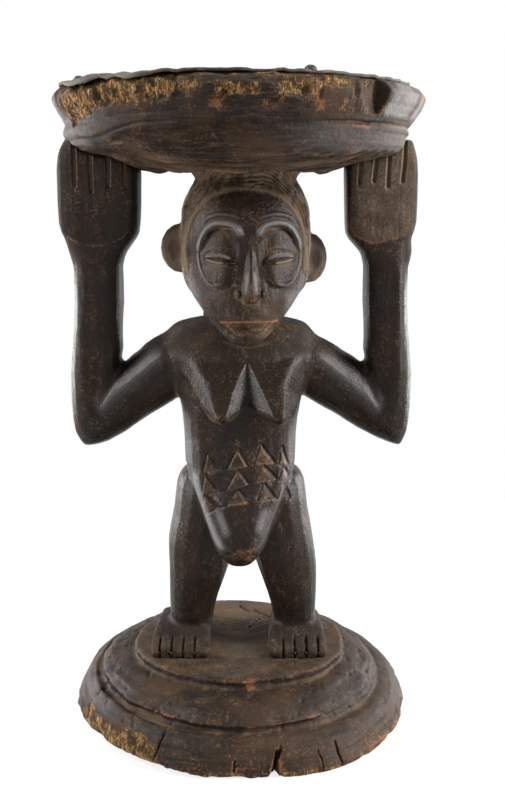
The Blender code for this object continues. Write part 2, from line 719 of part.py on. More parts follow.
def make_seat(material):
    """A dished round seat: a rim that leans in to a groove, over a shallow tier."""
    rim = SEAT_RIM_HEIGHT
    tier = SEAT_TIER_HEIGHT
    lean = SEAT_RADIUS - SEAT_NECK_RADIUS
    stations = [
        disc(SEAT_TOP - DISH_DEPTH, DISH_RADIUS),
        disc(SEAT_TOP, DISH_RADIUS + DISH_SLOPE),
        disc(SEAT_TOP, SEAT_TOP_RADIUS),
        disc(SEAT_TOP - rim * 0.07, SEAT_TOP_RADIUS + (SEAT_RADIUS - SEAT_TOP_RADIUS) * 0.55),
        disc(SEAT_TOP - rim * 0.24, SEAT_RADIUS),
        disc(SEAT_TOP - rim * 0.45, SEAT_RADIUS - lean * 0.18),
        disc(SEAT_TOP - rim * 0.80, SEAT_NECK_RADIUS + lean * 0.28),
        disc(RIM_Z + rim * 0.03, SEAT_NECK_RADIUS + 0.001, tilt=SEAT_TILT),
        disc(RIM_Z, SEAT_NECK_RADIUS - 0.0015, tilt=SEAT_TILT),
        disc(RIM_Z - tier * 0.10, SEAT_NECK_RADIUS, tilt=SEAT_TILT),
        disc(SEAT_Z + tier * 0.50, SEAT_NECK_RADIUS - 0.004, tilt=SEAT_TILT),
        disc(SEAT_Z + tier * 0.36, SEAT_NECK_RADIUS - 0.009, tilt=SEAT_TILT),
        disc(SEAT_Z + tier * 0.30, SEAT_NECK_RADIUS - 0.016, tilt=SEAT_TILT),
        disc(SEAT_Z, SEAT_FOOT_RADIUS),
    ]
    seat = add_object("seat", loft(stations, ROUND_SIDES), material)
    cut(seat, rim_break())
    return seat


def rim_break():
    """A wedge for the piece that has split off the rim: a long flat face that ends at a steep one."""
    def at(turn, radius, z):
        return Vector((radius * math.sin(turn), -radius * math.cos(turn), z))

    deepest = SEAT_RADIUS - BREAK_DEPTH
    plan = ((BREAK_ANGLE - BREAK_SPAN, SEAT_RADIUS), (BREAK_ANGLE - BREAK_SPAN / 2, SEAT_RADIUS * 1.1),
            (BREAK_ANGLE + 0.04, SEAT_RADIUS * 1.05), (BREAK_ANGLE, deepest))
    bm = bmesh.new()
    face = bm.faces.new([bm.verts.new(at(turn, radius, RIM_Z + SEAT_RIM_HEIGHT * 0.22)) for turn, radius in plan])
    made = bmesh.ops.extrude_face_region(bm, geom=[face])["geom"]
    lifted = [item for item in made if isinstance(item, bmesh.types.BMVert)]
    bmesh.ops.translate(bm, verts=lifted, vec=(0, 0, SEAT_RIM_HEIGHT))
    return bm


def cover_edge(turn):
    """The radius of the hide's hand-cut edge at an angle round the seat."""
    wave = 0.5 * math.sin(3 * turn + 0.6) + 0.3 * math.sin(5 * turn + 2.1) + 0.2 * math.sin(11 * turn)
    return SEAT_TOP_RADIUS - COVER_MARGIN * (1 - wave)


def make_cover(material):
    """A hide of even thickness that follows the dish, with an uneven edge."""
    low = SEAT_TOP + SEAM
    dip = DISH_DEPTH
    outer = DISH_RADIUS + DISH_SLOPE
    edge = SEAT_TOP_RADIUS
    stations = [
        disc(low - dip, DISH_RADIUS),
        disc(low, outer),
        disc(low, edge),
        disc(low + COVER_THICKNESS, edge),
        disc(low + COVER_THICKNESS, outer),
        disc(low + COVER_THICKNESS - dip, DISH_RADIUS),
    ]
    bm = loft(stations, ROUND_SIDES)
    for vert in bm.verts:
        radius = math.hypot(vert.co.x, vert.co.y)
        if radius > (outer + edge) / 2:
            scale = cover_edge(math.atan2(vert.co.y, vert.co.x)) / radius
            vert.co.x *= scale
            vert.co.y *= scale
    return add_object("hide_cover", bm, material)


def tack_axis(k):
    """The foot of tack k on the cover, counted from the first one's angle right of the front."""
    turn = TACK_FIRST_ANGLE + 2 * math.pi * k / TACK_COUNT
    return Vector((TACK_RING * math.sin(turn), -TACK_RING * math.cos(turn), SEAT_TOP + SEAM + COVER_THICKNESS))


def at_axis(foot, z, radius):
    return Station(foot + Z_AXIS * z, X_AXIS, Y_AXIS, radius, radius, 2.0)


def make_tack(k, material):
    """A dome-headed tack: a pointed shank under a round head."""
    foot = tack_axis(k)
    head = SEAM
    shank = TACK_SHANK_RADIUS
    stations = [
        at_axis(foot, head - TACK_LENGTH, shank * 0.25),
        at_axis(foot, head - TACK_LENGTH * 0.75, shank),
        at_axis(foot, head, shank),
        at_axis(foot, head, TACK_HEAD_RADIUS),
    ]
    for turn in (20, 42, 62, 80):
        c, s = math.cos(math.radians(turn)), math.sin(math.radians(turn))
        stations.append(at_axis(foot, head + TACK_HEAD_HEIGHT * s, TACK_HEAD_RADIUS * c))
    return add_object(f"tack_{k + 1}", loft(stations, SMALL_SIDES), material)


def drill_tack_holes(seat, cover):
    """A hole through the hide and into the rim for each tack's shank."""
    radius = TACK_SHANK_RADIUS + SEAM
    for k in range(TACK_COUNT):
        foot = tack_axis(k)
        for obj in (seat, cover):
            cut(obj, loft([at_axis(foot, -TACK_LENGTH, radius), at_axis(foot, 0.004, radius)], SMALL_SIDES))


def main():
    clear_scene()
    figure_wood = make_material("dark_oiled_wood", (0.030, 0.022, 0.018), 0.42)
    seat_wood = make_material("worn_seat_wood", (0.070, 0.045, 0.028), 0.60)
    base_wood = make_material("dusty_base_wood", (0.050, 0.036, 0.027), 0.62)
    hide = make_material("dry_hide", (0.050, 0.048, 0.042), 0.70)
    brass = make_material("tarnished_brass", (0.035, 0.035, 0.026), 0.45, 0.6)

    make_base(base_wood)
    seat = make_seat(seat_wood)
    cover = make_cover(hide)
    drill_tack_holes(seat, cover)
    for k in range(TACK_COUNT):
        make_tack(k, brass)
    torso = make_torso(figure_wood)
    make_neck(make_head(torso, figure_wood), figure_wood)
    for side in SIDES:
        make_upper_arm(f"{side.name}_upper_arm", side, torso, figure_wood)
        make_forearm(f"{side.name}_forearm", side, figure_wood)
        make_hand(f"{side.name}_hand", side, seat, figure_wood)
        foot = make_foot(f"{side.name}_foot", side, figure_wood)
        make_leg(f"{side.name}_leg", side, foot, torso, figure_wood)


main()
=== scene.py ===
"""Caryatid stool: the carved log, its hide cover and tacks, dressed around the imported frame.

The log is carved the way a carver works: each stretch starts as the frame's solids, fused into one dense
skin, and is then cut with ridges, grooves, raised patches and tool marks. Metres, +Z up, the figure looks
along -Y. Left and right are the figure's own.
"""

import itertools
import math
from collections import namedtuple

import bmesh
import bpy
import numpy as np
from bpy.props import FloatProperty, FloatVectorProperty, PointerProperty
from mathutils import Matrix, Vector


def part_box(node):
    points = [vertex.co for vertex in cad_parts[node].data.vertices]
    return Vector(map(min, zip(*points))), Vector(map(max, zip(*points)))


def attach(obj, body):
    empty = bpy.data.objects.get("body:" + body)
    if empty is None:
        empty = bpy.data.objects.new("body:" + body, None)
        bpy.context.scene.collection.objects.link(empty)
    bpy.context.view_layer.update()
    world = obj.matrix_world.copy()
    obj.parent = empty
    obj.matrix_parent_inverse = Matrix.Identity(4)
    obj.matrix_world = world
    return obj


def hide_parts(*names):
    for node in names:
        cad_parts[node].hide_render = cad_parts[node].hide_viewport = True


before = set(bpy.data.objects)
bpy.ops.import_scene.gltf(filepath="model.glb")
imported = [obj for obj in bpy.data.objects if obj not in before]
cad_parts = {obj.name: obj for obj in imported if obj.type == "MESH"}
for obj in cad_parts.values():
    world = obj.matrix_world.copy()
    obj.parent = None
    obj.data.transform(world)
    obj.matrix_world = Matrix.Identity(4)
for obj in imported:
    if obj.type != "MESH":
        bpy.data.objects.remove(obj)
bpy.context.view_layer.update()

bl_info = {
    "name": "Caryatid Stool",
    "version": (1, 0, 0),
    "blender": (4, 5, 0),
    "location": "View3D > Sidebar > Stool",
    "description": "Carves and dresses a caryatid stool",
    "category": "Object",
}

# How far the streaks of the finish are drawn out: up the log, or round it
UPRIGHT_GRAIN = (420.0, 420.0, 26.0)
LEVEL_GRAIN = (60.0, 60.0, 480.0)

# The old oil shines little seen straight on
SHEEN = 0.13

# Which stretches of the log each carved piece stands for
ARM_NODES = tuple(f"{side}_{part}" for side in ("right", "left") for part in ("upper_arm", "forearm", "hand"))
LEG_NODES = tuple(f"{side}_{part}" for side in ("right", "left") for part in ("leg", "foot"))
BODY_NODES = ("torso", *ARM_NODES, *LEG_NODES)
HEAD_NODES = ("head", "neck")
TACK_NODES = ("tack_1", "tack_2", "tack_3", "tack_4")

# Levels and middles read from the frame
SEAT_LOW, SEAT_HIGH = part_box("seat")
BASE_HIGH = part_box("base")[1]
HEAD_LOW, HEAD_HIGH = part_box("head")
HEAD_X = (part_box("neck")[0].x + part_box("neck")[1].x) / 2 + 0.0024
HEAD_TALL = HEAD_HIGH.z - HEAD_LOW.z
PLINTH_TOP = BASE_HIGH.z * 0.525
STEP_TOP = BASE_HIGH.z * 0.850
# The middle of the carved face
FACE_X = 0.0085
# How much higher the seat's underside lies on the right, and the levels over which it rises
UNDERSIDE_RISE = 0.0058
UNDERSIDE_BAND = (0.4720, 0.4620)

# The drawing faces: which axes lie across and up the drawing, and the way it looks out
Face = namedtuple("Face", "across up out")
FRONT = Face(0, 2, np.array((0.0, -1.0, 0.0)))
TOP = Face(0, 1, np.array((0.0, 0.0, 1.0)))


def length_property(name, description, default):
    return FloatProperty(name=name, description=description, default=default, unit="LENGTH")


class StoolSizes(bpy.types.PropertyGroup):
    """Depths and widths of the carver's marks."""

    tool_marks: length_property("Tool Marks", "Depth of the adze scallops", 0.00035)
    ridge: length_property("Ridges", "Height of the ridges along the arms and the belly", 0.0022)
    scars: length_property("Belly Pattern", "Depth of the cut triangles on the belly", 0.0013)
    fingers: length_property("Finger Cuts", "Depth of the cuts between the fingers", 0.0030)
    hair: length_property("Hair Lines", "Depth of the combed lines of the hair", 0.0009)
    fibres: length_property("Torn Fibres", "Depth of the torn wood along the seat's rim", 0.0032)
    hide: length_property("Hide", "Thickness of the dried hide", 0.0020)


def colour_property(name, description, default):
    return FloatVectorProperty(
        name=name, description=description, default=default, subtype="COLOR", size=3, min=0.0, max=1.0)


class StoolColours(bpy.types.PropertyGroup):
    """The wood's patina and wear, its dust and painted light, the painted highlights, the hide and the tacks.
    """

    patina: colour_property("Patina", "Dark oiled skin of the wood", (0.0100, 0.0072, 0.0052))
    patina_brown: colour_property("Brown Patina", "Browner clouds in the patina", (0.036, 0.0205, 0.0116))
    # Dust in the hollows and on the tops; in a few places the same colour is painted light, where a part
    # catches the lamps
    dust: colour_property("Dust", "Dust that fills the hollows", (0.118, 0.078, 0.049))
    worn: colour_property("Worn Edges", "Red-brown wood on rubbed edges", (0.165, 0.066, 0.026))
    # Painted highlight: a cool grey mixed into the colour on facets and edges where the lamps' sheen would
    # fall
    burnish: colour_property("Painted Sheen", "Cool sheen of the patina on proud facets", (0.130, 0.123, 0.124))
    bare: colour_property("Bare Wood", "Torn fibres of bare wood", (0.425, 0.235, 0.096))
    hide: colour_property("Hide", "Dried hide", (0.140, 0.119, 0.090))
    tack: colour_property("Tacks", "Tarnished brass", (0.060, 0.052, 0.036))


# Noise and curves

def scatter(cells, seed):
    """A number from 0 to 1 for each lattice cell, the same on each run."""
    key = cells[..., 0] * 73856093 ^ cells[..., 1] * 19349663 ^ cells[..., 2] * 83492791 ^ (seed + 1) * 40503
    key = ((key ^ (key >> 13)) & 0x7FFFFFFF) * 1274126177 & 0x7FFFFFFF
    key = ((key ^ (key >> 15)) & 0x7FFFFFFF) * 668265263 & 0x7FFFFFFF
    return ((key >> 7) & 0xFFFF) / 65535.0


def noise(points, size, seed=0):
    """Smooth noise from -1 to 1, with one lattice spacing or one for each axis."""
    at = points / np.asarray(size)
    cells = np.floor(at).astype(np.int64)
    part = at - cells
    part = part * part * (3 - 2 * part)
    total = np.zeros(len(points))
    for corner in itertools.product((0, 1), repeat=3):
        weight = np.prod(np.where(corner, part, 1 - part), axis=1)
        total += weight * scatter(cells + corner, seed)
    return total * 2 - 1


def scoops(points, size, seed=0):
    """Shallow scoops side by side, from 0 in a scoop's middle to about 1 on the crest between two."""
    at = points / np.asarray(size)
    cells = np.floor(at).astype(np.int64)
    nearest = np.full(len(points), np.inf)
    for step in itertools.product((-1, 0, 1), repeat=3):
        cell = cells + step
        middle = cell + np.stack([scatter(cell, seed + k) for k in range(3)], axis=1)
        nearest = np.minimum(nearest, ((at - middle) ** 2).sum(axis=1))
    return nearest


def ramp(value, low, high):
    """A smooth rise from 0 at low to 1 at high, or a fall where low is above high."""
    part = np.clip((value - low) / (high - low), 0, 1)
    return part * part * (3 - 2 * part)


def curve(points, steps=8):
    """A smooth line through the given points."""
    points = [np.array(point, float) for point in points]
    ends = [2 * points[0] - points[1], *points, 2 * points[-1] - points[-2]]
    line = []
    for a, b, c, d in zip(ends, ends[1:], ends[2:], ends[3:]):
        for k in range(steps):
            t = k / steps
            line.append(b + (c - a) * (t / 2) + (2 * a - 5 * b + 4 * c - d) * (t * t / 2) + (
                3 * b - a - 3 * c + d) * (t * t * t / 2))
    line.append(points[-1])
    return np.array(line)


def arc(centre, radii, start, stop, steps=24):
    """A line round an ellipse, with its angles in degrees from the across axis."""
    turns = np.radians(np.linspace(start, stop, steps))
    return np.stack([centre[0] + radii[0] * np.cos(turns), centre[1] + radii[1] * np.sin(turns)], axis=1)


def along(points, line):
    """How far each point lies from a line, and how far along the line that is, from 0 to 1."""
    best = np.full(len(points), np.inf)
    place = np.zeros(len(points))
    steps = np.linalg.norm(np.diff(line, axis=0), axis=1)
    done = 0.0
    for a, b, step in zip(line[:-1], line[1:], steps):
        t = np.clip(((points - a) @ (b - a)) / max(step ** 2, 1e-18), 0, 1)
        gap = np.linalg.norm(points - a - t[:, None] * (b - a), axis=1)
        near = gap < best
        best[near] = gap[near]
        place[near] = (done + t[near] * step) / steps.sum()
        done += step
    return best, place


def depth_inside(points, outline):
    """How far each point lies inside a closed outline, below zero outside."""
    gap, _ = along(points, np.vstack([outline, outline[:1]]))
    inside = np.zeros(len(points), bool)
    for a, b in zip(outline, np.roll(outline, -1, axis=0)):
        spans = (a[1] > points[:, 1]) != (b[1] > points[:, 1])
        rise = b[1] - a[1] if b[1] != a[1] else 1e-12
        inside ^= spans & (points[:, 0] < (b[0] - a[0]) * (points[:, 1] - a[1]) / rise + a[0])
    return np.where(inside, gap, -gap)


def tent(gap):
    """As bell, with straight sides and a sharp top, for gaps of 0 and more."""
    return np.clip(1 - gap, 0, 1)


def bell(gap):
    """1 in the middle and 0 from a gap of 1 on either side."""
    return np.clip(1 - gap * gap, 0, 1) ** 2


# The carver's bench

# What the finishes read from the vertices: dust, which in a few places is painted light; wear; bare wood;
# painted highlight; and dullness for the roughness
MARKS = ("dust", "wear", "bare", "burnish", "matt")
TRIANGLE_LIMIT = 185_000
# The spacing of the skin's cells
WOOD_GRID = 0.0015
HEAD_GRID = 0.0010
MERGE_GAP = 1e-6
# How far the fused solids swell to close their seams
SEAM_SWELL = 0.0003
# How squarely a vertex has to look out of a drawing face to be marked at all, and to be marked in full
LOOKS_OUT = (0.12, 0.42)
# Nearer the axis than this, a move out from it fades
LEAST_RADIUS = 0.02


def fused_nodes(*nodes):
    """The frame's solids in one mesh, merged and swollen a little so that their seams close."""
    bm = bmesh.new()
    for node in nodes:
        bm.from_mesh(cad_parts[node].data)
    bmesh.ops.remove_doubles(bm, verts=bm.verts, dist=MERGE_GAP)
    bm.normal_update()
    moves = [vert.normal * SEAM_SWELL for vert in bm.verts]
    for vert, move in zip(bm.verts, moves):
        vert.co += move
    return bm


def spun(outline, middle, steps):
    """A skin from an outline of radii and heights, turned round an upright axis."""
    bm = bmesh.new()
    profile = [bm.verts.new((middle.x + radius, middle.y, height)) for radius, height in outline]
    edges = [bm.edges.new(pair) for pair in zip(profile, profile[1:])]
    bmesh.ops.spin(bm, geom=profile + edges, axis=(0, 0, 1), cent=middle, angle=2 * math.pi, steps=steps,
                   use_merge=True)
    bmesh.ops.remove_doubles(bm, verts=bm.verts, dist=MERGE_GAP)
    bmesh.ops.recalc_face_normals(bm, faces=bm.faces)
    return bm


def finished_object(name, bm):
    mesh = bpy.data.meshes.new(name)
    bm.to_mesh(mesh)
    bm.free()
    mesh.shade_smooth()
    obj = bpy.data.objects.new(name, mesh)
    bpy.context.scene.collection.objects.link(obj)
    return obj


def apply_modifiers(obj):
    graph = bpy.context.evaluated_depsgraph_get()
    mesh = bpy.data.meshes.new_from_object(obj.evaluated_get(graph))
    mesh.name = obj.name
    obj.modifiers.clear()
    old, obj.data = obj.data, mesh
    bpy.data.meshes.remove(old)


class Carving:
    """A dense skin of wood, and the tools that cut it."""

    def __init__(self, name, bm, grid):
        self.obj = finished_object(name, bm)
        self.read()
        self.lay_skin(grid)

    def lay_skin(self, grid):
        """Covers the form with a new skin of even cells."""
        self.write()
        remesh = self.obj.modifiers.new("skin", "REMESH")
        remesh.mode = "VOXEL"
        remesh.voxel_size = grid
        apply_modifiers(self.obj)
        self.keep_largest()
        self.read()

    def keep_largest(self):
        """Drops loose shells that the fusing left inside."""
        bm = bmesh.new()
        bm.from_mesh(self.obj.data)
        todo = set(bm.verts)
        shells = []
        while todo:
            shell = {todo.pop()}
            edge = list(shell)
            while edge:
                vert = edge.pop()
                for link in vert.link_edges:
                    other = link.other_vert(vert)
                    if other in todo:
                        todo.discard(other)
                        shell.add(other)
                        edge.append(other)
            shells.append(shell)
        shells.sort(key=len)
        for shell in shells[:-1]:
            bmesh.ops.delete(bm, geom=list(shell), context="VERTS")
        bm.to_mesh(self.obj.data)
        bm.free()

    def read(self):
        mesh = self.obj.data
        self.co = np.empty(len(mesh.vertices) * 3)
        mesh.vertices.foreach_get("co", self.co)
        self.co = self.co.reshape(-1, 3)
        self.edges = np.empty(len(mesh.edges) * 2, np.int64)
        mesh.edges.foreach_get("vertices", self.edges)
        self.edges = self.edges.reshape(-1, 2)
        self.links = np.bincount(self.edges.ravel(), minlength=len(self.co))
        self.marks = {name: np.zeros(len(self.co)) for name in MARKS}

    def write(self):
        self.obj.data.vertices.foreach_set("co", self.co.ravel())
        self.obj.data.update()

    def normals(self):
        self.write()
        found = np.empty(len(self.co) * 3)
        self.obj.data.vertex_normals.foreach_get("vector", found)
        return found.reshape(-1, 3)

    def refine(self, chosen):
        """Cuts each edge between chosen vertices in two."""
        self.write()
        bm = bmesh.new()
        bm.from_mesh(self.obj.data)
        edges = [edge for edge in bm.edges if all(chosen[vert.index] for vert in edge.verts)]
        bmesh.ops.subdivide_edges(bm, edges=edges, cuts=1, use_grid_fill=True)
        bm.to_mesh(self.obj.data)
        bm.free()
        self.read()

    def drift(self, places):
        """The way from each vertex to the middle of its neighbours."""
        a, b = self.edges.T
        total = np.empty_like(places)
        for axis in range(3):
            column = places[:, axis]
            total[:, axis] = np.bincount(a, column[b], len(places)) + np.bincount(b, column[a], len(places))
        return total / self.links[:, None] - places

    def smooth(self, times, share=1.0):
        """Rounds the skin off without shrinking it, all over or by a share for each vertex."""
        share = np.reshape(share, (-1, 1))
        for _ in range(times):
            self.co += 0.50 * share * self.drift(self.co)
            self.co -= 0.53 * share * self.drift(self.co)

    def relax(self, times, share):
        """Fills notches and wears edges down, by a share for each vertex."""
        for _ in range(times):
            self.co += 0.5 * np.reshape(share, (-1, 1)) * self.drift(self.co)

    def seen(self, face, box):
        """The vertices inside a box of the drawing that look out of its face, and how squarely they do."""
        flat = self.co[:, (face.across, face.up)]
        low, high = box
        looks = self.normals() @ face.out
        chosen = np.nonzero(np.all((flat >= low) & (flat <= high), axis=1) & (looks > LOOKS_OUT[0]))[0]
        return chosen, ramp(looks[chosen], *LOOKS_OUT)

    def note(self, chosen, amount, marks):
        """Adds to the marks of the chosen vertices, such as wear=0.4."""
        for name, value in marks.items():
            self.marks[name][chosen] += value * amount

    def stroke(self, line, width, height, profile=tent, face=FRONT, fade=0.12, within=None, **marks):
        """Raises a ridge along a line of the drawing, or cuts a groove where the height is below zero."""
        line = np.asarray(line, float)
        chosen, square = self.seen(face, (line.min(axis=0) - width, line.max(axis=0) + width))
        if within is not None:
            square = square * within(self.co[chosen])
        gap, place = along(self.co[chosen][:, (face.across, face.up)], line)
        ends = 1.0 if fade == 0 else np.clip(np.minimum(place, 1 - place) / fade, 0, 1) ** 0.7
        amount = profile(gap / width) * ends * square
        self.co[chosen] += np.outer(height * amount, face.out)
        self.note(chosen, amount, marks)

    def patch(self, outline, height, edge, face=FRONT, **marks):
        """Raises the inside of an outline of the drawing, with a slope this wide."""
        outline = np.asarray(outline, float)
        chosen, square = self.seen(face, (outline.min(axis=0) - edge, outline.max(axis=0) + edge))
        inside = depth_inside(self.co[chosen][:, (face.across, face.up)], outline)
        amount = ramp(inside, -edge / 2, edge / 2) * square
        self.co[chosen] += np.outer(height * amount, face.out)
        self.note(chosen, amount, marks)

    def score(self, line, width, depth, fade=0.15, wall=None, **marks):
        """Cuts a crack along a line in space, or along bearings and heights on a wall of this radius."""
        line = np.asarray(line, float)
        places = self.co
        if wall:
            line = line * (math.radians(wall), 1.0)
            outside = np.where(off_axis(places) > wall * 0.8, 0.0, 1.0)
            places = np.stack([np.radians(bearing(places)) * wall, places[:, 2] + outside], axis=1)
        gap, place = along(places, line)
        chosen = np.nonzero(gap < width)[0]
        amount = tent(gap[chosen] / width) * np.clip(np.minimum(place, 1 - place)[chosen] / fade, 0, 1) ** 0.6
        self.co[chosen] -= self.normals()[chosen] * (depth * amount)[:, None]
        self.note(chosen, amount, marks)

    def dab(self, centre, radii, height, face=FRONT, **marks):
        """Raises a round swelling on the drawing."""
        centre, radii = np.asarray(centre), np.asarray(radii)
        chosen, square = self.seen(face, (centre - radii, centre + radii))
        gap = np.linalg.norm((self.co[chosen][:, (face.across, face.up)] - centre) / radii, axis=1)
        amount = bell(gap) * square
        self.co[chosen] += np.outer(height * amount, face.out)
        self.note(chosen, amount, marks)

    def plane_off(self, middle, guide, share):
        """Cuts features away: by its share, each vertex goes to a plain round form through the guides."""
        offset = self.co[:, :2] - middle
        radius = np.linalg.norm(offset, axis=1)
        turn = np.arctan2(offset[:, 0], -offset[:, 1])
        level = (self.co[:, 2] - self.co[guide, 2].mean()) / 0.05
        terms = np.stack([turn ** i * level ** j for i in range(5) for j in range(5 - i)], axis=1)
        kept = guide
        for limit in (0.0060, 0.0040, 0.0030, 0.0022, 0.0016):
            weights = np.linalg.lstsq(terms[kept], radius[kept], rcond=None)[0]
            miss = terms @ weights - radius
            kept = guide & (np.abs(miss) < limit)
        self.co[:, :2] += offset * (miss * share / np.maximum(radius, 1e-6))[:, None]

    def facet(self, corners, triangles):
        """Brings the front out to flat facets where these stand before it. Corners are across, up and out."""
        places = np.array(list(corners.values()))[:, :2]
        chosen, _ = self.seen(FRONT, (places.min(axis=0), places.max(axis=0)))
        flat = self.co[chosen][:, (0, 2)]
        for names in triangles:
            a, b, c = (np.array(corners[name]) for name in names)
            sides = np.stack([b[:2] - a[:2], c[:2] - a[:2]], axis=1)
            parts = (flat - a[:2]) @ np.linalg.inv(sides).T
            inside = np.all(parts > -0.001, axis=1) & (parts.sum(axis=1) < 1.001)
            out = a[2] + parts @ np.array((b[2] - a[2], c[2] - a[2]))
            hit = chosen[inside]
            self.co[hit, 1] = np.minimum(self.co[hit, 1], -out[inside])

    def blot(self, centre, radius, **marks):
        """A round spot of wear, dust, bare wood and painted highlight, in the amounts given."""
        gap = np.linalg.norm(self.co - centre, axis=1) / radius
        self.note(slice(None), bell(gap), marks)

    def push(self, amounts):
        """Moves each vertex along its normal."""
        self.co += self.normals() * np.reshape(amounts, (-1, 1))

    def swell(self, radius, amounts):
        """Moves each vertex out from the log's axis, where it lies at this radius."""
        self.co[:, :2] *= (1 + amounts / np.maximum(radius, LEAST_RADIUS))[:, None]

    def round_off(self, chosen, sides, power=2.0):
        """Turns a many-sided stretch into a superellipse about the log's axis."""
        turns = np.arange(sides + 1) * 2 * np.pi / sides
        corners = np.stack([np.cos(turns), np.sin(turns)], axis=1)
        corners = np.sign(corners) * np.abs(corners) ** (2 / power)
        flat = self.co[chosen][:, :2]
        way = flat / np.maximum(np.linalg.norm(flat, axis=1), 1e-9)[:, None]
        angles = np.unwrap(np.arctan2(corners[:, 1], corners[:, 0]))
        at = np.searchsorted(angles, np.arctan2(way[:, 1], way[:, 0]) % (2 * np.pi), "right") - 1
        a = corners[np.clip(at, 0, sides - 1)]
        b = corners[np.clip(at, 0, sides - 1) + 1]
        chord = (a[:, 0] * b[:, 1] - a[:, 1] * b[:, 0]) / (
            way[:, 0] * (b - a)[:, 1] - way[:, 1] * (b - a)[:, 0])
        true = (np.abs(way) ** power).sum(axis=1) ** (-1 / power)
        self.co[chosen, :2] *= (true / chord)[:, None]

    def tool_marks(self, depth, size, seed):
        """Adze scoops with soft crests, and slow waves."""
        marks = np.clip(scoops(self.co, size, seed), 0, 1) - 0.4
        waves = noise(self.co, np.asarray(size) * 2.3, seed + 9)
        self.push(depth * (marks + 0.8 * waves))

    def finish(self, fine_dust):
        """Adds hollows to the dust and crests to the wear, and keeps the marks for the finish."""
        normals = self.normals()
        soft = self.co.copy()
        found = {}
        for name, times in (("fine", 5), ("broad", 40)):
            for _ in range(times):
                soft += 0.5 * self.drift(soft)
            found[name] = ((soft - self.co) * normals).sum(axis=1)
        amount_laid = 0.25 + 0.75 * ramp(noise(self.co, 0.018, 7) + 0.5 * noise(self.co, 0.007, 8), -0.25, 0.50)
        self.marks["dust"] += np.clip(found["fine"] / 0.00022, 0, 1) * fine_dust * amount_laid
        self.marks["dust"] += np.clip(found["broad"] / 0.0012, 0, 1) * (0.25 + fine_dust) * amount_laid
        crests = np.clip(-found["fine"] / 0.0003, 0, 1) * 0.35
        self.marks["wear"] += crests + np.clip(-found["broad"] / 0.002, 0, 1) * 0.2
        for name, values in self.marks.items():
            layer = self.obj.data.attributes.new(name, "FLOAT", "POINT")
            layer.data.foreach_set("value", np.clip(values, 0, 1.5).astype(np.float32))
        thin = self.obj.modifiers.new("thin", "DECIMATE")
        thin.ratio = min(1.0, TRIANGLE_LIMIT / (2 * len(self.co)))
        apply_modifiers(self.obj)
        self.obj.data.shade_smooth()


def ready(piece, nodes, material):
    """Gives a piece its finish and puts it in the place of its nodes."""
    piece.data.materials.clear()
    piece.data.materials.append(material)
    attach(piece, "root")
    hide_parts(*nodes)


# Finishes

class Wire:
    """A shader socket that takes part in Python expressions."""

    def __init__(self, finish, socket):
        self.finish = finish
        self.socket = socket

    def math(self, operation, a, b):
        return self.finish.node("ShaderNodeMath", {"operation": operation}, {0: a, 1: b})

    def __add__(self, other):
        return self.math("ADD", self, other)

    def __sub__(self, other):
        return self.math("SUBTRACT", self, other)

    def __mul__(self, other):
        return self.math("MULTIPLY", self, other)

    def __rsub__(self, other):
        return self.math("SUBTRACT", other, self)

    __radd__ = __add__
    __rmul__ = __mul__

    def ramp(self, low, high):
        """A smooth rise from 0 at low to 1 at high."""
        settings = {"interpolation_type": "SMOOTHSTEP", "clamp": True}
        sockets = {"Value": self, "From Min": low, "From Max": high}
        return self.finish.node("ShaderNodeMapRange", settings, sockets)


class Finish:
    """A material or a world that is written as expressions."""

    def __init__(self, owner):
        self.owner = owner
        owner.use_nodes = True
        self.tree = owner.node_tree
        self.tree.nodes.clear()
        self.object_place = self.node("ShaderNodeTexCoord", output="Object")

    def node(self, kind, settings=None, sockets=None, output=0):
        """Adds a node: its settings, then the values and links of its sockets."""
        made = self.tree.nodes.new(kind)
        for name, value in (settings or {}).items():
            setattr(made, name, value)
        for name, value in (sockets or {}).items():
            if isinstance(value, Wire):
                self.tree.links.new(value.socket, made.inputs[name])
            else:
                made.inputs[name].default_value = value
        return Wire(self, made.outputs[output]) if len(made.outputs) else None

    def mix(self, factor, a, b):
        """Colour a that turns into colour b."""
        a, b = ((*c, 1.0) if not isinstance(c, Wire) else c for c in (a, b))
        return self.node("ShaderNodeMix", {"data_type": "RGBA"}, {0: factor, 6: a, 7: b}, output=2)

    def noise(self, scale, detail=4.0, rough=0.55, stretch=(1.0, 1.0, 1.0), warp=0.0):
        place = self.node("ShaderNodeMapping", None, {"Vector": self.object_place, "Scale": stretch})
        sockets = {"Vector": place, "Scale": scale, "Detail": detail, "Roughness": rough, "Distortion": warp}
        return self.node("ShaderNodeTexNoise", None, sockets)

    def mark(self, name):
        """A number kept on the piece's vertices."""
        return self.node("ShaderNodeAttribute", {"attribute_name": name}, output="Fac")

    def bump(self, height, distance, strength=1.0):
        sockets = {"Height": height, "Distance": distance, "Strength": strength}
        return self.node("ShaderNodeBump", None, sockets)

    def principled(self, **sockets):
        named = {name.replace("_", " ").title().replace("Ior", "IOR"): value
                 for name, value in sockets.items()}
        shader = self.node("ShaderNodeBsdfPrincipled", None, named)
        self.node("ShaderNodeOutputMaterial", None, {"Surface": shader})
        return self.owner


Wood = namedtuple("Wood", "brown dustiness polish stretch")
# How brown and dusty each stretch of the log is, how rough its polish, and how its streaks are drawn out
WOODS = {
    "figure_wood": Wood(0.22, 0.0, 0.31, UPRIGHT_GRAIN),
    "head_wood": Wood(0.90, 0.09, 0.33, UPRIGHT_GRAIN),
    "base_wood": Wood(0.90, 0.02, 0.50, LEVEL_GRAIN),
    "seat_wood": Wood(1.30, 0.03, 0.58, LEVEL_GRAIN),
}
TORN_GRAIN = (900.0, 900.0, 45.0)


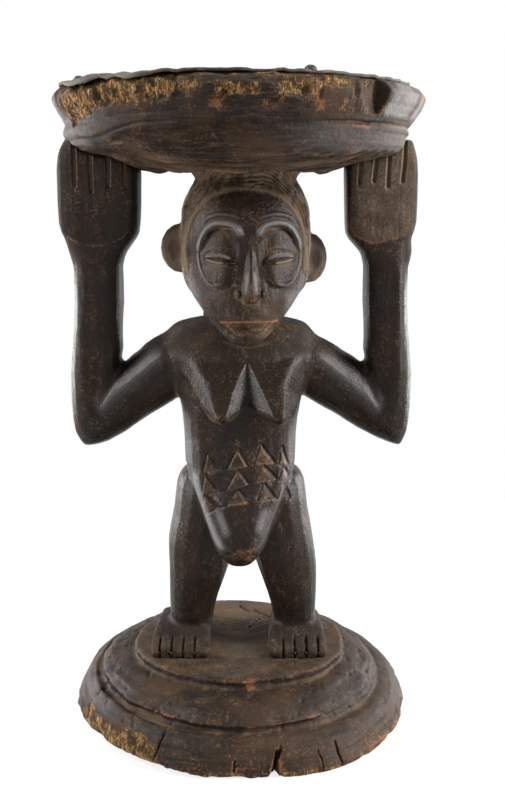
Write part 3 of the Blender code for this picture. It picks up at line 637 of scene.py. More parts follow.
def wood_finish(name, colours):
    """Oiled and handled wood: dark patina, dust in the hollows, red-brown crests, bare torn fibres, painted
    highlights.
    """
    brown, dustiness, polish, stretch = WOODS[name]
    f = Finish(bpy.data.materials.new(name))
    dust, wear, bare, burnish, matt = (f.mark(mark) for mark in MARKS)
    clouds = f.noise(22.0, 5.0, 0.6)
    strands = f.noise(1.0, 3.0, 0.6, stretch=stretch)
    fibre = f.noise(1.0, 4.0, 0.65, stretch=TORN_GRAIN, warp=0.3)
    specks = f.noise(520.0, 3.0, 0.65)
    flecks = f.noise(430.0, 1.0, 0.5)
    blotch = f.noise(75.0, 5.0, 0.65)
    lumps = f.noise(130.0, 5.0, 0.6)

    skin = f.mix(clouds.ramp(0.42, 0.68) * brown, tuple(colours.patina), tuple(colours.patina_brown))
    skin = f.mix(strands.ramp(0.46, 0.66) * 0.6 * brown, skin, tuple(colours.patina_brown))
    skin = f.mix(specks.ramp(0.50, 0.62) * blotch.ramp(0.40, 0.62), skin, tuple(colours.patina_brown))
    grime = (specks * 1.2 + blotch * 0.8 + strands * 0.5 - 1.36 + dustiness * 0.6).ramp(0.0, 0.26)
    skin = f.mix(grime * 0.42, skin, tuple(colours.dust))
    # Painted highlight: a cool grey mixed into the colour where the vertices are marked for it, in place of
    # the lamps' sheen on proud facets
    sheen = burnish.ramp(0.0, 1.0) * (0.72 + 0.20 * specks.ramp(0.36, 0.60))
    skin = f.mix(sheen, skin, tuple(colours.burnish))
    rubbed = (wear * 0.8 + blotch + specks * 0.8 - 1.26).ramp(0.05, 0.45)
    rust = (flecks + blotch * 0.5 + clouds * 0.3 + wear * 0.2 - 1.10).ramp(0.0, 0.12)
    skin = f.mix(rubbed * 0.75 + rust * 0.35, skin, tuple(colours.worn))
    # The dust colour, from the mark that is dust in the hollows and painted light in a few places
    dust_and_light_share = (dust * 0.85 + blotch * 0.5 + specks * 0.5 - 0.70 + dustiness).ramp(0.0, 0.75)
    skin = f.mix(dust_and_light_share * 0.85, skin, tuple(colours.dust))

    gaps = lumps.ramp(0.40, 0.58) * fibre.ramp(0.38, 0.70)
    tan = f.mix(gaps, tuple(0.07 * c for c in colours.bare), tuple(colours.bare))
    torn = (bare + blotch * 1.3 + strands * 0.4 - 1.02).ramp(0.05, 0.36)
    colour = f.mix(torn, skin, tan)

    roughness = polish + 0.40 * dust_and_light_share + 0.28 * torn + 0.45 * matt.ramp(0.0, 1.0)
    roughness = roughness + 0.25 * (clouds - 0.5) + 0.32 * (specks - 0.5)
    height = 0.4 * strands + 0.38 * specks + (0.25 + 0.6 * brown) * lumps + fibre * torn * 1.4
    return f.principled(base_color=colour, roughness=roughness, specular_ior_level=SHEEN,
                        normal=f.bump(height, 0.0009, 0.85))


def hide_finish(colours):
    """Dried hide: olive-grey, blotched, with a fine crackle."""
    f = Finish(bpy.data.materials.new("dried_hide"))
    blotch = f.noise(38.0, 5.0, 0.6)
    crackle = f.node("ShaderNodeTexVoronoi", {"feature": "DISTANCE_TO_EDGE"},
                     {"Vector": f.object_place, "Scale": 420.0})
    pores = f.noise(900.0, 3.0, 0.6)
    colour = f.mix(blotch.ramp(0.35, 0.68), tuple(0.40 * c for c in colours.hide), tuple(colours.hide))
    colour = f.mix((1 - crackle.ramp(0.0, 0.14)) * 0.60, colour, tuple(0.3 * c for c in colours.hide))
    roughness = 0.72 + 0.2 * (blotch - 0.5)
    height = crackle.ramp(0.0, 0.2) * 0.5 + pores * 0.5
    return f.principled(base_color=colour, roughness=roughness, specular_ior_level=2 * SHEEN,
                        normal=f.bump(height, 0.0004, 0.6))


def tack_finish(colours):
    """Tarnished brass, darker and duller in patches."""
    f = Finish(bpy.data.materials.new("tarnished_brass"))
    tarnish = f.noise(260.0, 4.0, 0.6)
    colour = f.mix(tarnish.ramp(0.4, 0.7), tuple(colours.tack), tuple(0.35 * c for c in colours.tack))
    roughness = 0.34 + 0.3 * tarnish.ramp(0.35, 0.7)
    return f.principled(base_color=colour, roughness=roughness, metallic=0.65,
                        normal=f.bump(tarnish, 0.0003, 0.5))


# Pieces

def settings():
    scene = bpy.context.scene
    return scene.stool_sizes, scene.stool_colours


def bearing(points):
    """The angle round the log from the front towards the figure's left, in degrees."""
    return np.degrees(np.arctan2(points[:, 0], -points[:, 1]))


def off_axis(points):
    """How far each point lies from the log's axis."""
    return np.hypot(points[:, 0], points[:, 1])


def low_side(turns):
    """1 at the bearings round the right of the seat, where its step and underside differ, and 0 elsewhere."""
    return ramp(turns, -24, -54) * ramp(turns, -122, -100)


def raised(points):
    """How far the seat's underside, and the fingers under it, lie higher on the right."""
    return UNDERSIDE_RISE * low_side(bearing(points)) * ramp(off_axis(points), 0.082, 0.105)


def mirrored(points, middle, side):
    return [(middle + side * x, *rest) for x, *rest in points]


def near(points, centre, radii):
    """1 at a centre, 0 at the surface of the ellipsoid round it and beyond."""
    return bell(np.linalg.norm((points - centre) / np.asarray(radii), axis=1))


# The body

# The breasts' corners: across, up and out
BREASTS = {
    -1: {"shoulder": (-0.0480, 0.3150, 0.0275), "collar_out": (-0.0440, 0.3265, 0.0215),
         "ridge_high": (-0.0352, 0.3020, 0.0400), "ridge_low": (-0.0257, 0.2882, 0.0548),
         "tip_out": (-0.0165, 0.2662, 0.0745), "tip_in": (-0.0105, 0.2660, 0.0745),
         "tip_under": (-0.0048, 0.2608, 0.0660), "blade": (-0.0048, 0.2840, 0.0600),
         "cleft_low": (0.0060, 0.2716, 0.0560), "side_1": (-0.0540, 0.2980, 0.0215),
         "side_2": (-0.0421, 0.2895, 0.0380), "side_3": (-0.0304, 0.2724, 0.0570),
         "side_4": (-0.0207, 0.2610, 0.0660), "bottom": (-0.0131, 0.2598, 0.0700)},
    1: {"shoulder": (0.0560, 0.3150, 0.0220), "collar_out": (0.0500, 0.3265, 0.0185),
        "ridge_high": (0.0430, 0.3020, 0.0390), "ridge_low": (0.0362, 0.2885, 0.0540),
        "tip_out": (0.0345, 0.2662, 0.0745), "tip_in": (0.0285, 0.2660, 0.0745),
        "tip_under": (0.0264, 0.2619, 0.0690), "blade": (0.0195, 0.2840, 0.0600),
        "cleft_low": (0.0078, 0.2710, 0.0560), "side_1": (0.0580, 0.2980, 0.0210),
        "side_2": (0.0535, 0.2867, 0.0320), "side_3": (0.0495, 0.2767, 0.0490),
        "side_4": (0.0440, 0.2652, 0.0630), "bottom": (0.0330, 0.2590, 0.0690)},
}
BETWEEN = {"collar_mid": (0.0067, 0.3270, 0.0300), "apex": (0.0067, 0.3085, 0.0390),
           "cleft_high": (0.0067, 0.2870, 0.0485)}
BREAST_FACETS = (("shoulder", "collar_out", "collar_mid"), ("shoulder", "collar_mid", "apex"),
                 ("shoulder", "ridge_high", "apex"), ("ridge_high", "ridge_low", "apex"),
                 ("ridge_low", "blade", "apex"), ("ridge_low", "tip_in", "blade"),
                 ("ridge_low", "tip_out", "tip_in"), ("apex", "blade", "cleft_high"),
                 ("blade", "tip_in", "cleft_high"), ("tip_in", "cleft_low", "cleft_high"),
                 ("tip_in", "tip_under", "cleft_low"), ("shoulder", "side_1", "ridge_high"),
                 ("side_1", "side_2", "ridge_high"), ("ridge_high", "side_2", "ridge_low"),
                 ("side_2", "side_3", "ridge_low"), ("side_3", "tip_out", "ridge_low"),
                 ("side_3", "side_4", "tip_out"), ("side_4", "bottom", "tip_out"),
                 ("tip_out", "bottom", "tip_in"), ("tip_in", "bottom", "tip_under"))
# The outline of the chest that is planed for the breasts
CHEST = ((-0.060, 0.314), (0.000, 0.318), (0.060, 0.314), (0.060, 0.270), (0.046, 0.256), (-0.034, 0.256),
         (-0.060, 0.280))
# The front panel of the trunk: its right edge, off the middle, from the ribs to the belly's tip
APRON_MIDDLE = 0.0015
APRON_EDGE = ((0.0360, 0.2680), (0.0355, 0.2450), (0.0350, 0.2170), (0.0310, 0.1950), (0.0245, 0.1790),
              (0.0165, 0.1635), (0.0095, 0.1545))
# The belly's three cut lines, and the corners of the triangles that stand on each: left, apex, right
BELLY_LINES = (
    ((-0.0301, 0.2153), (0.0177, 0.2227), (0.0296, 0.2220), (0.0404, 0.2185)),
    ((-0.0290, 0.1983), (0.0104, 0.2081), (0.0300, 0.2095), (0.0405, 0.2055)),
    ((-0.0270, 0.1840), (-0.0081, 0.1931), (0.0176, 0.1948), (0.0330, 0.1935), (0.0410, 0.1845)),
)
TRIANGLES = ((-0.0300, -0.0265, -0.0160), (-0.0106, -0.0020, 0.0070), (0.0130, 0.0185, 0.0300),
             (0.0314, 0.0350, 0.0410))
TRIANGLE_RISE = 0.0165
# The flat middle of the lower belly
BELLY_PLATE = ((-0.0175, 0.1960), (-0.0150, 0.1850), (-0.0030, 0.1480), (0.0100, 0.1480), (0.0190, 0.1870),
               (0.0205, 0.1960))
# Lines of painted highlight on the lower belly, and down the right hip
BELLY_SHEEN = (((-0.0190, 0.1900), (-0.0080, 0.1680)), ((0.0230, 0.1900), (0.0150, 0.1700)))
HIP_SHEEN = ((-0.0375, 0.2150), (-0.0345, 0.2000), (-0.0285, 0.1850), (-0.0200, 0.1680), (-0.0125, 0.1570))
HIP_CREASE = ((-0.0460, -0.010, 0.2160), (-0.0440, -0.022, 0.2160), (-0.0400, -0.032, 0.2150))
THIGH_LINE = ((-0.0570, 0.1270), (-0.0420, 0.1240), (-0.0220, 0.1255))
COLLAR = ((-0.0140, 0.3215), (0.0060, 0.3165), (0.0265, 0.3205))
# Arms, off the middle of the log
ARM_RIDGE = ((0.1180, 0.2600), (0.0990, 0.2780), (0.0780, 0.2970), (0.0595, 0.3108))
ELBOW_CREASE = ((0.0985, 0.2960), (0.1090, 0.2770), (0.1195, 0.2575))
FOREARM_CREASE = ((0.1153, 0.3110), (0.1179, 0.2870), (0.1206, 0.2564))
FOREARM_EDGE = ((0.1310, 0.2600), (0.1310, 0.3200), (0.1300, 0.3850))
# Hands and feet of the right (-1) and the left (1) side
FINGERS = {-1: (-0.0900, -0.1033, -0.1166, -0.1299), 1: (0.0948, 0.1063, 0.1178, 0.1293)}
FINGER_ROOT = {-1: 0.4400, 1: 0.4435}
FINGER_LEAN = {-1: 0.0, 1: 0.0022}
PALM = {
    -1: ((-0.1428, 0.4850), (-0.1428, 0.4400), (-0.1428, 0.4068), (-0.1276, 0.3975), (-0.1115, 0.3960),
         (-0.0955, 0.4007), (-0.0850, 0.4125), (-0.0835, 0.4400), (-0.0835, 0.4850)),
    1: ((0.0880, 0.4850), (0.0880, 0.4400), (0.0872, 0.4200), (0.0906, 0.4070), (0.1050, 0.3983),
        (0.1249, 0.4008), (0.1371, 0.4070), (0.1400, 0.4400), (0.1400, 0.4850)),
}
LEFT_PALM_TURN = 0.18
TOES = {-1: (-0.0679, -0.0581, -0.0483, -0.0385), 1: (0.0665, 0.0567, 0.0469, 0.0371)}
TOE_ROOT, TOE_TIP = -0.024, -0.046


class STOOL_OT_body(bpy.types.Operator):
    """Carve the figure from the feet to the hands"""

    bl_idname = "stool.body"
    bl_label = "Carve Body"

    def execute(self, context):
        sizes, colours = settings()
        body = Carving("carved_body", fused_nodes(*BODY_NODES), WOOD_GRID)
        body.smooth(34, smoothing_share(body.co))
        carve_breasts(body)
        body.refine(detailed(body.co))
        carve_trunk(body, sizes)
        for side in (-1, 1):
            carve_arm(body, side, sizes)
            carve_hand(body, side, sizes)
            carve_foot(body, side, sizes)
        body.tool_marks(sizes.tool_marks, (0.012, 0.012, 0.026), 3)
        body.marks["dust"] += 0.48 * ramp(body.co[:, 2], 0.080, 0.056)
        shoulders = ramp(body.co[:, 2], 0.300, 0.318) * ramp(np.abs(body.co[:, 0]), 0.090, 0.070)
        body.marks["dust"] += 0.40 * shoulders
        body.marks["matt"] += shoulders + 0.8 * ramp(body.co[:, 2], 0.080, 0.066)
        outer = ramp(np.abs(body.co[:, 0]), 0.128, 0.138) * ramp(body.co[:, 2], 0.350, 0.385)
        body.marks["matt"] += outer
        body.push(0.0006 * noise(body.co, 0.0055, 5) * ramp(body.co[:, 2], 0.082, 0.074))
        body.finish(0.10)
        ready(body.obj, BODY_NODES, wood_finish("figure_wood", colours))
        return {"FINISHED"}


def smoothing_share(points):
    """Limbs and trunk lose their facets, while hands and feet keep their edges."""
    crisp = np.maximum(ramp(points[:, 2], 0.395, 0.420), ramp(points[:, 2], 0.080, 0.070))
    return 1 - 0.88 * crisp


def detailed(points):
    """The belly, the fingers and the toes, whose marks are finer than the skin's grid."""
    x, y, z = points.T
    belly = (np.abs(x - 0.004) < 0.044) & (z > 0.150) & (z < 0.243) & (y < -0.022)
    fingers = (np.abs(x) > 0.075) & (z > 0.436) & (y < -0.010)
    toes = (z < 0.068) & (y < -0.018)
    return belly | fingers | toes


def drawn(corners, *names):
    """Where these corners lie on the drawing: across and up."""
    return np.array([corners[name][:2] for name in names])


def carve_breasts(body):
    """Two blunt wedges, each cut with a few flat facets, in place of the plain ones."""
    breasts = [{**corners, **BETWEEN} for corners in BREASTS.values()]
    sides = np.abs(body.co[:, 0])
    inside = depth_inside(body.co[:, (0, 2)], np.array(CHEST))
    front = body.co[:, 1] < -0.014
    guide = front & (sides < 0.046) & (inside < 0.001) & (body.co[:, 2] > 0.222) & (body.co[:, 2] < 0.332)
    body.plane_off((0.0, 0.0), guide, front * ramp(sides, 0.057, 0.045) * ramp(inside, -0.012, 0.002))
    body.lay_skin(WOOD_GRID)
    body.smooth(30, ramp(np.abs(depth_inside(body.co[:, (0, 2)], np.array(CHEST))), 0.016, 0.006))
    for corners in breasts:
        body.facet(corners, BREAST_FACETS)
    body.lay_skin(WOOD_GRID)
    for x in (-0.052, 0.056):
        body.relax(40, near(body.co, (x, -0.020, 0.302), (0.014, 0.022, 0.024)))
    for x in (-0.061, 0.061):
        body.relax(70, near(body.co, (x, -0.002, 0.319), (0.022, 0.040, 0.024)))
    body.relax(30, bell((body.co[:, 2] - 0.3150) / 0.0100) * (body.co[:, 1] < -0.012))
    body.smooth(12, 0.50 + 0.50 * ramp(np.abs(body.co[:, 2] - 0.285), 0.026, 0.045))
    for corners in breasts:
        crest = curve(drawn(corners, "shoulder", "ridge_high", "ridge_low"))
        gap, _ = along(body.co[:, (0, 2)], crest)
        body.relax(24, bell(gap / 0.0110) * (body.co[:, 1] < -0.012))
    for corners in breasts:
        ridge = drawn(corners, "apex", "blade", "tip_in")
        body.stroke(curve(ridge), 0.0030, 0.0007, fade=0.05, wear=0.12)
        # Painted highlights on each breast's inner and outer facets, where the side lamps' sheen would fall;
        # these patches raise nothing
        inner = drawn(corners, "apex", "tip_in", "tip_under", "cleft_high")
        body.patch(inner, 0.0, 0.0050, burnish=0.60)
        outer = drawn(corners, "shoulder", "ridge_high", "ridge_low", "tip_out", "side_3", "side_2")
        body.patch(outer, 0.0, 0.0180, burnish=0.62)
        lateral = drawn(corners, "side_2", "side_3", "side_4", "bottom")
        body.stroke(curve(lateral), 0.0024, 0.0002, fade=0.05, wear=0.75)
        tip = np.mean([corners[name] for name in ("tip_out", "tip_in", "bottom")], axis=0)
        body.blot((tip[0], -tip[2], tip[1]), 0.0085, wear=1.0, dust=0.15)


def carve_trunk(body, sizes):
    """The trunk's front panel, and the three rows of triangles cut into the belly."""
    for side in (-1, 1):
        edge = curve(mirrored(APRON_EDGE, APRON_MIDDLE, side))
        body.stroke(edge, 0.0100, sizes.ridge, fade=0.08, wear=0.10)
        # A second ridge along the lower part of each edge, with a painted highlight
        body.stroke(curve(mirrored(APRON_EDGE[2:], APRON_MIDDLE, side)), 0.0065, sizes.ridge * 0.9, fade=0.10,
                    burnish=0.35)
    # A slight ridge down the right hip with a painted highlight
    body.stroke(curve(HIP_SHEEN), 0.0055, 0.0006, fade=0.12, burnish=1.0)
    body.patch(BELLY_PLATE, sizes.ridge * 1.5, 0.0075)
    # Painted highlights on the lower belly: flat strokes that only change the colour
    for line in BELLY_SHEEN:
        body.stroke(line, 0.0070, 0.0, bell, fade=0.25, burnish=0.60)
    body.stroke(curve(COLLAR), 0.0018, 0.0007, dust=0.35)
    for row, line in enumerate(BELLY_LINES):
        xs, zs = np.transpose(line)
        above = np.transpose(BELLY_LINES[row - 1]) if row else None
        for left, apex, right in TRIANGLES:
            low = np.interp((left, right), xs, zs)
            top = np.interp(apex, *above) if row else np.interp(apex, xs, zs) + TRIANGLE_RISE
            sway = 0.0011 * np.sin(1700 * (left + low[0]) + np.arange(3))
            corners = ((left + sway[0], low[0]), (apex + sway[1], top - 0.0008), (right + sway[2], low[1]))
            body.patch(corners, sizes.scars * 0.45, 0.0016, dust=0.46, wear=0.32)
            body.stroke((corners[1], corners[2]), 0.0019, -sizes.scars * 1.5, fade=0.10)
            body.stroke((corners[1], corners[0]), 0.0012, -sizes.scars * 0.8, fade=0.10)
        body.stroke(curve(line), 0.0012, -sizes.scars * 0.8, fade=0.03, dust=0.40, wear=0.35)
    body.stroke(curve(THIGH_LINE), 0.0012, -0.0005)
    body.score(HIP_CREASE, 0.0022, 0.0012)
    body.dab((0.0045, 0.1560), (0.0180, 0.0140), 0.0, wear=0.82, dust=0.20)
    body.blot((0.0060, -0.050, 0.2450), 0.0220, wear=0.25, dust=0.30)


def carve_arm(body, side, sizes):
    """A sharp ridge down the front of the upper arm, and the creases of the elbow and the forearm."""
    def here(points):
        return mirrored(points, 0.0, side)

    # The arm's ridge also gets a painted highlight
    body.stroke(curve(here(ARM_RIDGE)), 0.0130, sizes.ridge * 1.6, fade=0.10, burnish=0.45)
    body.stroke(curve(here(ELBOW_CREASE)), 0.0040, -sizes.ridge * 0.55, fade=0.2)
    body.stroke(curve(here(FOREARM_CREASE)), 0.0042, -sizes.ridge * 0.6, fade=0.25)
    body.stroke(curve(here(FOREARM_EDGE)), 0.0080, sizes.ridge * 0.7, fade=0.15)
    body.blot((side * 0.1200, -0.015, 0.2380), 0.0220, wear=0.30)
    body.blot((side * 0.1180, -0.018, 0.3050), 0.0160, wear=0.22)


def carve_hand(body, side, sizes):
    """Cuts between the fingers and the palm's raised plate. The left palm is turned a little outward."""
    if side > 0:
        hand = ramp(body.co[:, 2], 0.375, 0.405) * (body.co[:, 0] > 0.070)
        body.co[:, 1] += LEFT_PALM_TURN * hand * (body.co[:, 0] - 0.1145)
    else:
        body.co[:, 2] += raised(body.co) * ramp(body.co[:, 2], 0.4420, 0.4530)
    palm = np.array(PALM[side])
    # The left palm also gets the dust colour, as painted light where it faces the stronger side lamp; the
    # right palm gets none
    body.patch(curve(palm), 0.0012, 0.0035, dust=0.58 if side > 0 else 0.0)
    body.stroke(curve(palm[2:-2]), 0.0030, 0.0002, wear=0.6)
    root = FINGER_ROOT[side]
    top = SEAT_LOW.z + 0.024
    lean = FINGER_LEAN[side]
    for number, x in enumerate(FINGERS[side]):
        wave = 0.0006 * math.sin(2.3 * number)
        line = curve(((x, root + 4 * wave), (x + lean * 0.5 + wave, (root + top) / 2), (x + lean, top)))
        body.stroke(line, 0.0036, sizes.fingers * 0.28, bell, fade=0.06)
        body.stroke(line, 0.0021, -sizes.fingers * 1.3, fade=0.06, dust=1.35)


def carve_foot(body, side, sizes):
    """Cuts between the toes, over their backs and down their fronts."""
    def low(points):
        return points[:, 2] < BASE_HIGH.z + 0.025

    for x in TOES[side]:
        body.stroke(((x, TOE_TIP), (x, TOE_ROOT)), 0.0019, -sizes.fingers * 1.3, face=TOP, fade=0.10,
                    within=low)
        body.stroke(((x, BASE_HIGH.z), (x, BASE_HIGH.z + 0.010)), 0.0020, -sizes.fingers * 1.1, fade=0.02)


# The head: lines are off its middle, and up

HAIRLINE = ((0.0, 0.4414), (0.0145, 0.4399), (0.0285, 0.4338), (0.0390, 0.4228), (0.0455, 0.4080),
            (0.0475, 0.3920), (0.0465, 0.3750))
BROW = ((0.0065, 0.4040), (0.0095, 0.4112), (0.0140, 0.4143), (0.0200, 0.4155), (0.0265, 0.4150),
        (0.0320, 0.4120), (0.0358, 0.4070), (0.0385, 0.4000), (0.0396, 0.3930))
BROW_CREASE = ((0.0086, 0.4145), (0.0142, 0.4174), (0.0200, 0.4184), (0.0262, 0.4178), (0.0325, 0.4150),
               (0.0370, 0.4100))
UPPER_BROW = ((0.0060, 0.4180), (0.0130, 0.4208), (0.0205, 0.4219), (0.0280, 0.4210), (0.0350, 0.4175))
EYE = (0.0241, 0.3896)
EYE_RADII = (0.0157, 0.0224)
# Up the eye from -1 to 1: how far its swelling stands out
EYE_LEVELS = ((-1.0, 0.0014), (-0.85, 0.0022), (-0.45, 0.0020), (0.0, 0.0004), (0.5, -0.0012), (1.0, -0.0024))
EYE_RIM = ((0.0380, 0.4015), (0.0396, 0.3930), (0.0398, 0.3887), (0.0389, 0.3827), (0.0375, 0.3774),
           (0.0350, 0.3723), (0.0312, 0.3682), (0.0265, 0.3672), (0.0200, 0.3683), (0.0140, 0.3705))
EYE_SHADE = ((0.0240, 0.3662), (0.0180, 0.3672), (0.0110, 0.3705))
EYE_FOLD = ((0.0380, 0.3913), (0.0305, 0.3950), (0.0190, 0.3967), (0.0105, 0.3941))
LID_IN, LID_OUT = (0.0100, 0.3858), (0.0360, 0.3888)
# Lines of painted highlight on the upper and the lower lids
LID_SHEEN = ((0.0350, 0.3896), (0.0290, 0.3908), (0.0210, 0.3906), (0.0140, 0.3884))
LOWER_SHEEN = ((0.0345, 0.3874), (0.0280, 0.3858), (0.0200, 0.3850))
EYE_BULGE = ((0.0340, 0.3830), (0.0240, 0.3800), (0.0150, 0.3810))
NOSE_LEAN = 0.0013
NOSE_TOP, NOSE_TIP = 0.4060, 0.3560
# Down the nose from 0 to 1: half its width, half its flat crest, and how far it stands out
NOSE_SHAPE = ((0.00, 0.0026, 0.0005, 0.0), (0.20, 0.0032, 0.0006, 0.0008), (0.40, 0.0044, 0.0008, 0.0028),
              (0.62, 0.0058, 0.0012, 0.0064), (0.87, 0.0076, 0.0020, 0.0102), (0.97, 0.0070, 0.0026, 0.0102),
              (1.00, 0.0060, 0.0026, 0.0090))
NOSE_WING = (0.0092, 0.3616)
LIPS_TOP = ((0.0233, 0.3398), (0.0120, 0.3408), (0.0, 0.3410))
LIPS_LOW = ((0.0233, 0.3398), (0.0160, 0.3345), (0.0090, 0.3302), (0.0, 0.3292))
LIPS_PARTING = ((0.0215, 0.3392), (0.0140, 0.3362), (0.0, 0.3348))
# Up the jaw: what is left of its width
JAW = ((0.3180, 0.66), (0.3265, 0.74), (0.3330, 0.84), (0.3408, 0.90), (0.3486, 0.955), (0.3570, 1.00))
# Each ear: its side, its level and how far its middle lies off the head's. Then how far its hollow is filled
EARS = ((-1, HEAD_LOW.z + 0.535 * HEAD_TALL, 0.0590), (1, HEAD_LOW.z + 0.475 * HEAD_TALL, 0.0580))
EAR_FILL = 0.0018
HAIR_PITCH = 0.0030
HAIR_MERIDIANS = 18.0


class STOOL_OT_head(bpy.types.Operator):
    """Carve the head and neck"""

    bl_idname = "stool.head"
    bl_label = "Carve Head"

    def execute(self, context):
        sizes, colours = settings()
        head = Carving("carved_head", fused_nodes(*HEAD_NODES), HEAD_GRID)
        x, y, z = head.co.T
        turn = np.abs(np.arctan2(x - HEAD_X, -y))
        face = (np.abs(x - HEAD_X) < 0.047) & (turn < 1.45)
        guide = face & (z > 0.330) & (z < 0.440)
        share = face * ramp(turn, 1.40, 1.15) * ramp(z, 0.328, 0.334) * ramp(z, 0.432, 0.424)
        head.plane_off((HEAD_X, 0.0), guide, share)
        head.lay_skin(HEAD_GRID)
        head.smooth(16)
        narrow_jaw(head)
        head.smooth(60, ramp(head.co[:, 2], 0.348, 0.338) * ramp(head.co[:, 1], -0.016, -0.026))
        crown = (head.co[:, 2] > 0.400) & (head.co[:, 1] < 0.004) & (np.abs(head.co[:, 0] - HEAD_X) < 0.054)
        features = (head.co[:, 1] < -0.024) & (head.co[:, 2] < 0.424)
        head.refine(crown | features)
        carve_hair(head, sizes)
        carve_face(head)
        head.tool_marks(sizes.tool_marks * 0.55, (0.009, 0.009, 0.016), 11)
        head.finish(0.34)
        ready(head.obj, HEAD_NODES, wood_finish("head_wood", colours))
        return {"FINISHED"}


def narrow_jaw(head):
    """Draws the front of the jaw in towards the chin."""
    width = np.interp(head.co[:, 2], *np.transpose(JAW))
    front = ramp(head.co[:, 1], 0.012, -0.028)
    head.co[:, 0] += (width - 1) * front * (head.co[:, 0] - FACE_X)


def carve_hair(head, sizes):
    """A raised hairline, and combed lines that follow it over the crown and run down the back."""
    line = curve(HAIRLINE)
    whole = np.vstack([mirrored(line[::-1], HEAD_X, -1), mirrored(line[1:], HEAD_X, 1)])
    outline = np.vstack([whole, ((HEAD_X + 0.046, 0.30), (HEAD_X - 0.046, 0.30))])
    flat = head.co[:, (0, 2)]
    away = -depth_inside(flat, outline)
    front = ramp(head.co[:, 1], -0.006, -0.022)
    away = away * front + 0.0065 * (1 - front)
    turn = np.abs(np.arctan2(head.co[:, 0] - HEAD_X, -(head.co[:, 1] + 0.008)))
    wander = noise(head.co, (0.009, 0.009, 0.022), 17) + 0.5 * noise(head.co, 0.0045, 19)
    spread = np.interp(turn, (0.0, 0.6, 1.2, math.pi), (0.0, 0.0, 0.2, 2.15))
    comb = away / HAIR_PITCH + spread * HAIR_MERIDIANS + 0.7 * wander
    lines = np.abs(np.sin(np.pi * comb)) ** 0.8
    sides = np.abs(head.co[:, 0] - HEAD_X)
    ears = ramp(sides, 0.0500, 0.0525) * ramp(head.co[:, 1], 0.012, 0.004) * ramp(head.co[:, 2], 0.425, 0.418)
    neck = ramp(head.co[:, 2], 0.352, 0.366)
    hair = ramp(away, 0.0004, 0.0016) * neck * (1 - ears)
    kept = (0.30 + 0.70 * ramp(noise(head.co, 0.011, 18), -0.30, 0.35)) * ramp(away, 0.024, 0.014)
    back = ramp(head.co[:, 1], -0.012, 0.006)
    kept = kept * (1 - back) + 0.55 * back
    wisps = noise(head.co, (0.0030, 0.0030, 0.0090), 21) + 0.5 * noise(head.co, 0.0018, 22)
    head.push(hair * (sizes.hair * 2.8 * kept * (lines - 0.75) + 0.0005 + 0.00022 * wisps))
    head.marks["dust"] += 0.45 * hair * wisps
    amount_laid = 0.04 + 0.85 * lines * kept + 0.35 * ramp(head.co[:, 2], 0.444, 0.454)
    head.marks["dust"] += hair * (1 - 0.45 * back) * amount_laid
    # The ears get the dust colour, partly as dust and partly as painted light, and a painted highlight,
    # mostly on the left ear, which faces the stronger side lamp
    head.marks["dust"] += ears * 0.68 * (1 + 0.6 * noise(head.co, 0.006, 20))
    head.marks["burnish"] += ears * np.where(head.co[:, 0] > HEAD_X, 1.0, 0.25)
    head.stroke(whole, 0.0026, 0.0016, fade=0.03, dust=0.85, wear=0.15)
    for side, level, reach in EARS:
        middle = (HEAD_X + side * reach, level)
        head.dab(middle, (0.0090, 0.0140), EAR_FILL)
        rim = arc(middle, (0.0082, 0.0135), 100 if side < 0 else 80, 260 if side < 0 else -80)
        # Painted highlight along each ear's rim
        head.stroke(rim, 0.0032, 0.0018, bell, fade=0.2, wear=0.25, burnish=0.35)


def eye_relief(across, up):
    """A swelling under the brow that ends in a step above the cheek, with the lids' rolls and their slit."""
    over = (across - EYE[0]) / EYE_RADII[0]
    high = (up - EYE[1]) / EYE_RADII[1]
    level = np.interp(high, *np.transpose(EYE_LEVELS))
    level -= 0.0024 * ramp(-over, 0.2, 1.0)
    part = np.clip((across - LID_IN[0]) / (LID_OUT[0] - LID_IN[0]), 0, 1)
    swell = np.sqrt(np.clip(4 * part * (1 - part), 0, 1))
    gap = up - np.interp(part, (0, 1), (LID_IN[1], LID_OUT[1]))
    lids = 0.0022 * bell(gap / (0.0012 + 0.0034 * swell)) * ramp(swell, 0.1, 0.7)
    rolls = bell((np.abs(gap) - 0.0021 * swell) / 0.0017) * ramp(swell, 0.2, 0.8)
    slit = bell(gap / 0.0008) * ramp(swell, 0.2, 0.7)
    soft = ramp(-over, 0.0, 0.8)
    inside = ramp(np.hypot(over, high), 1.04 + 0.16 * soft, 0.95 - 0.30 * soft)
    return inside * level + lids + 0.0016 * rolls - 0.0032 * slit


def nose_relief(across, up):
    """A long wedge with a narrow flat crest, cut off straight below its tip."""
    down = np.clip((NOSE_TOP - up) / (NOSE_TOP - NOSE_TIP), 0, 1)
    places, halves, crests, reaches = np.transpose(NOSE_SHAPE)
    half = np.interp(down, places, halves)
    crest = np.interp(down, places, crests)
    wedge = np.clip((half - np.abs(across)) / (half - crest), 0, 1)
    return np.interp(down, places, reaches) * wedge * ramp(up, NOSE_TIP - 0.0022, NOSE_TIP + 0.0004)


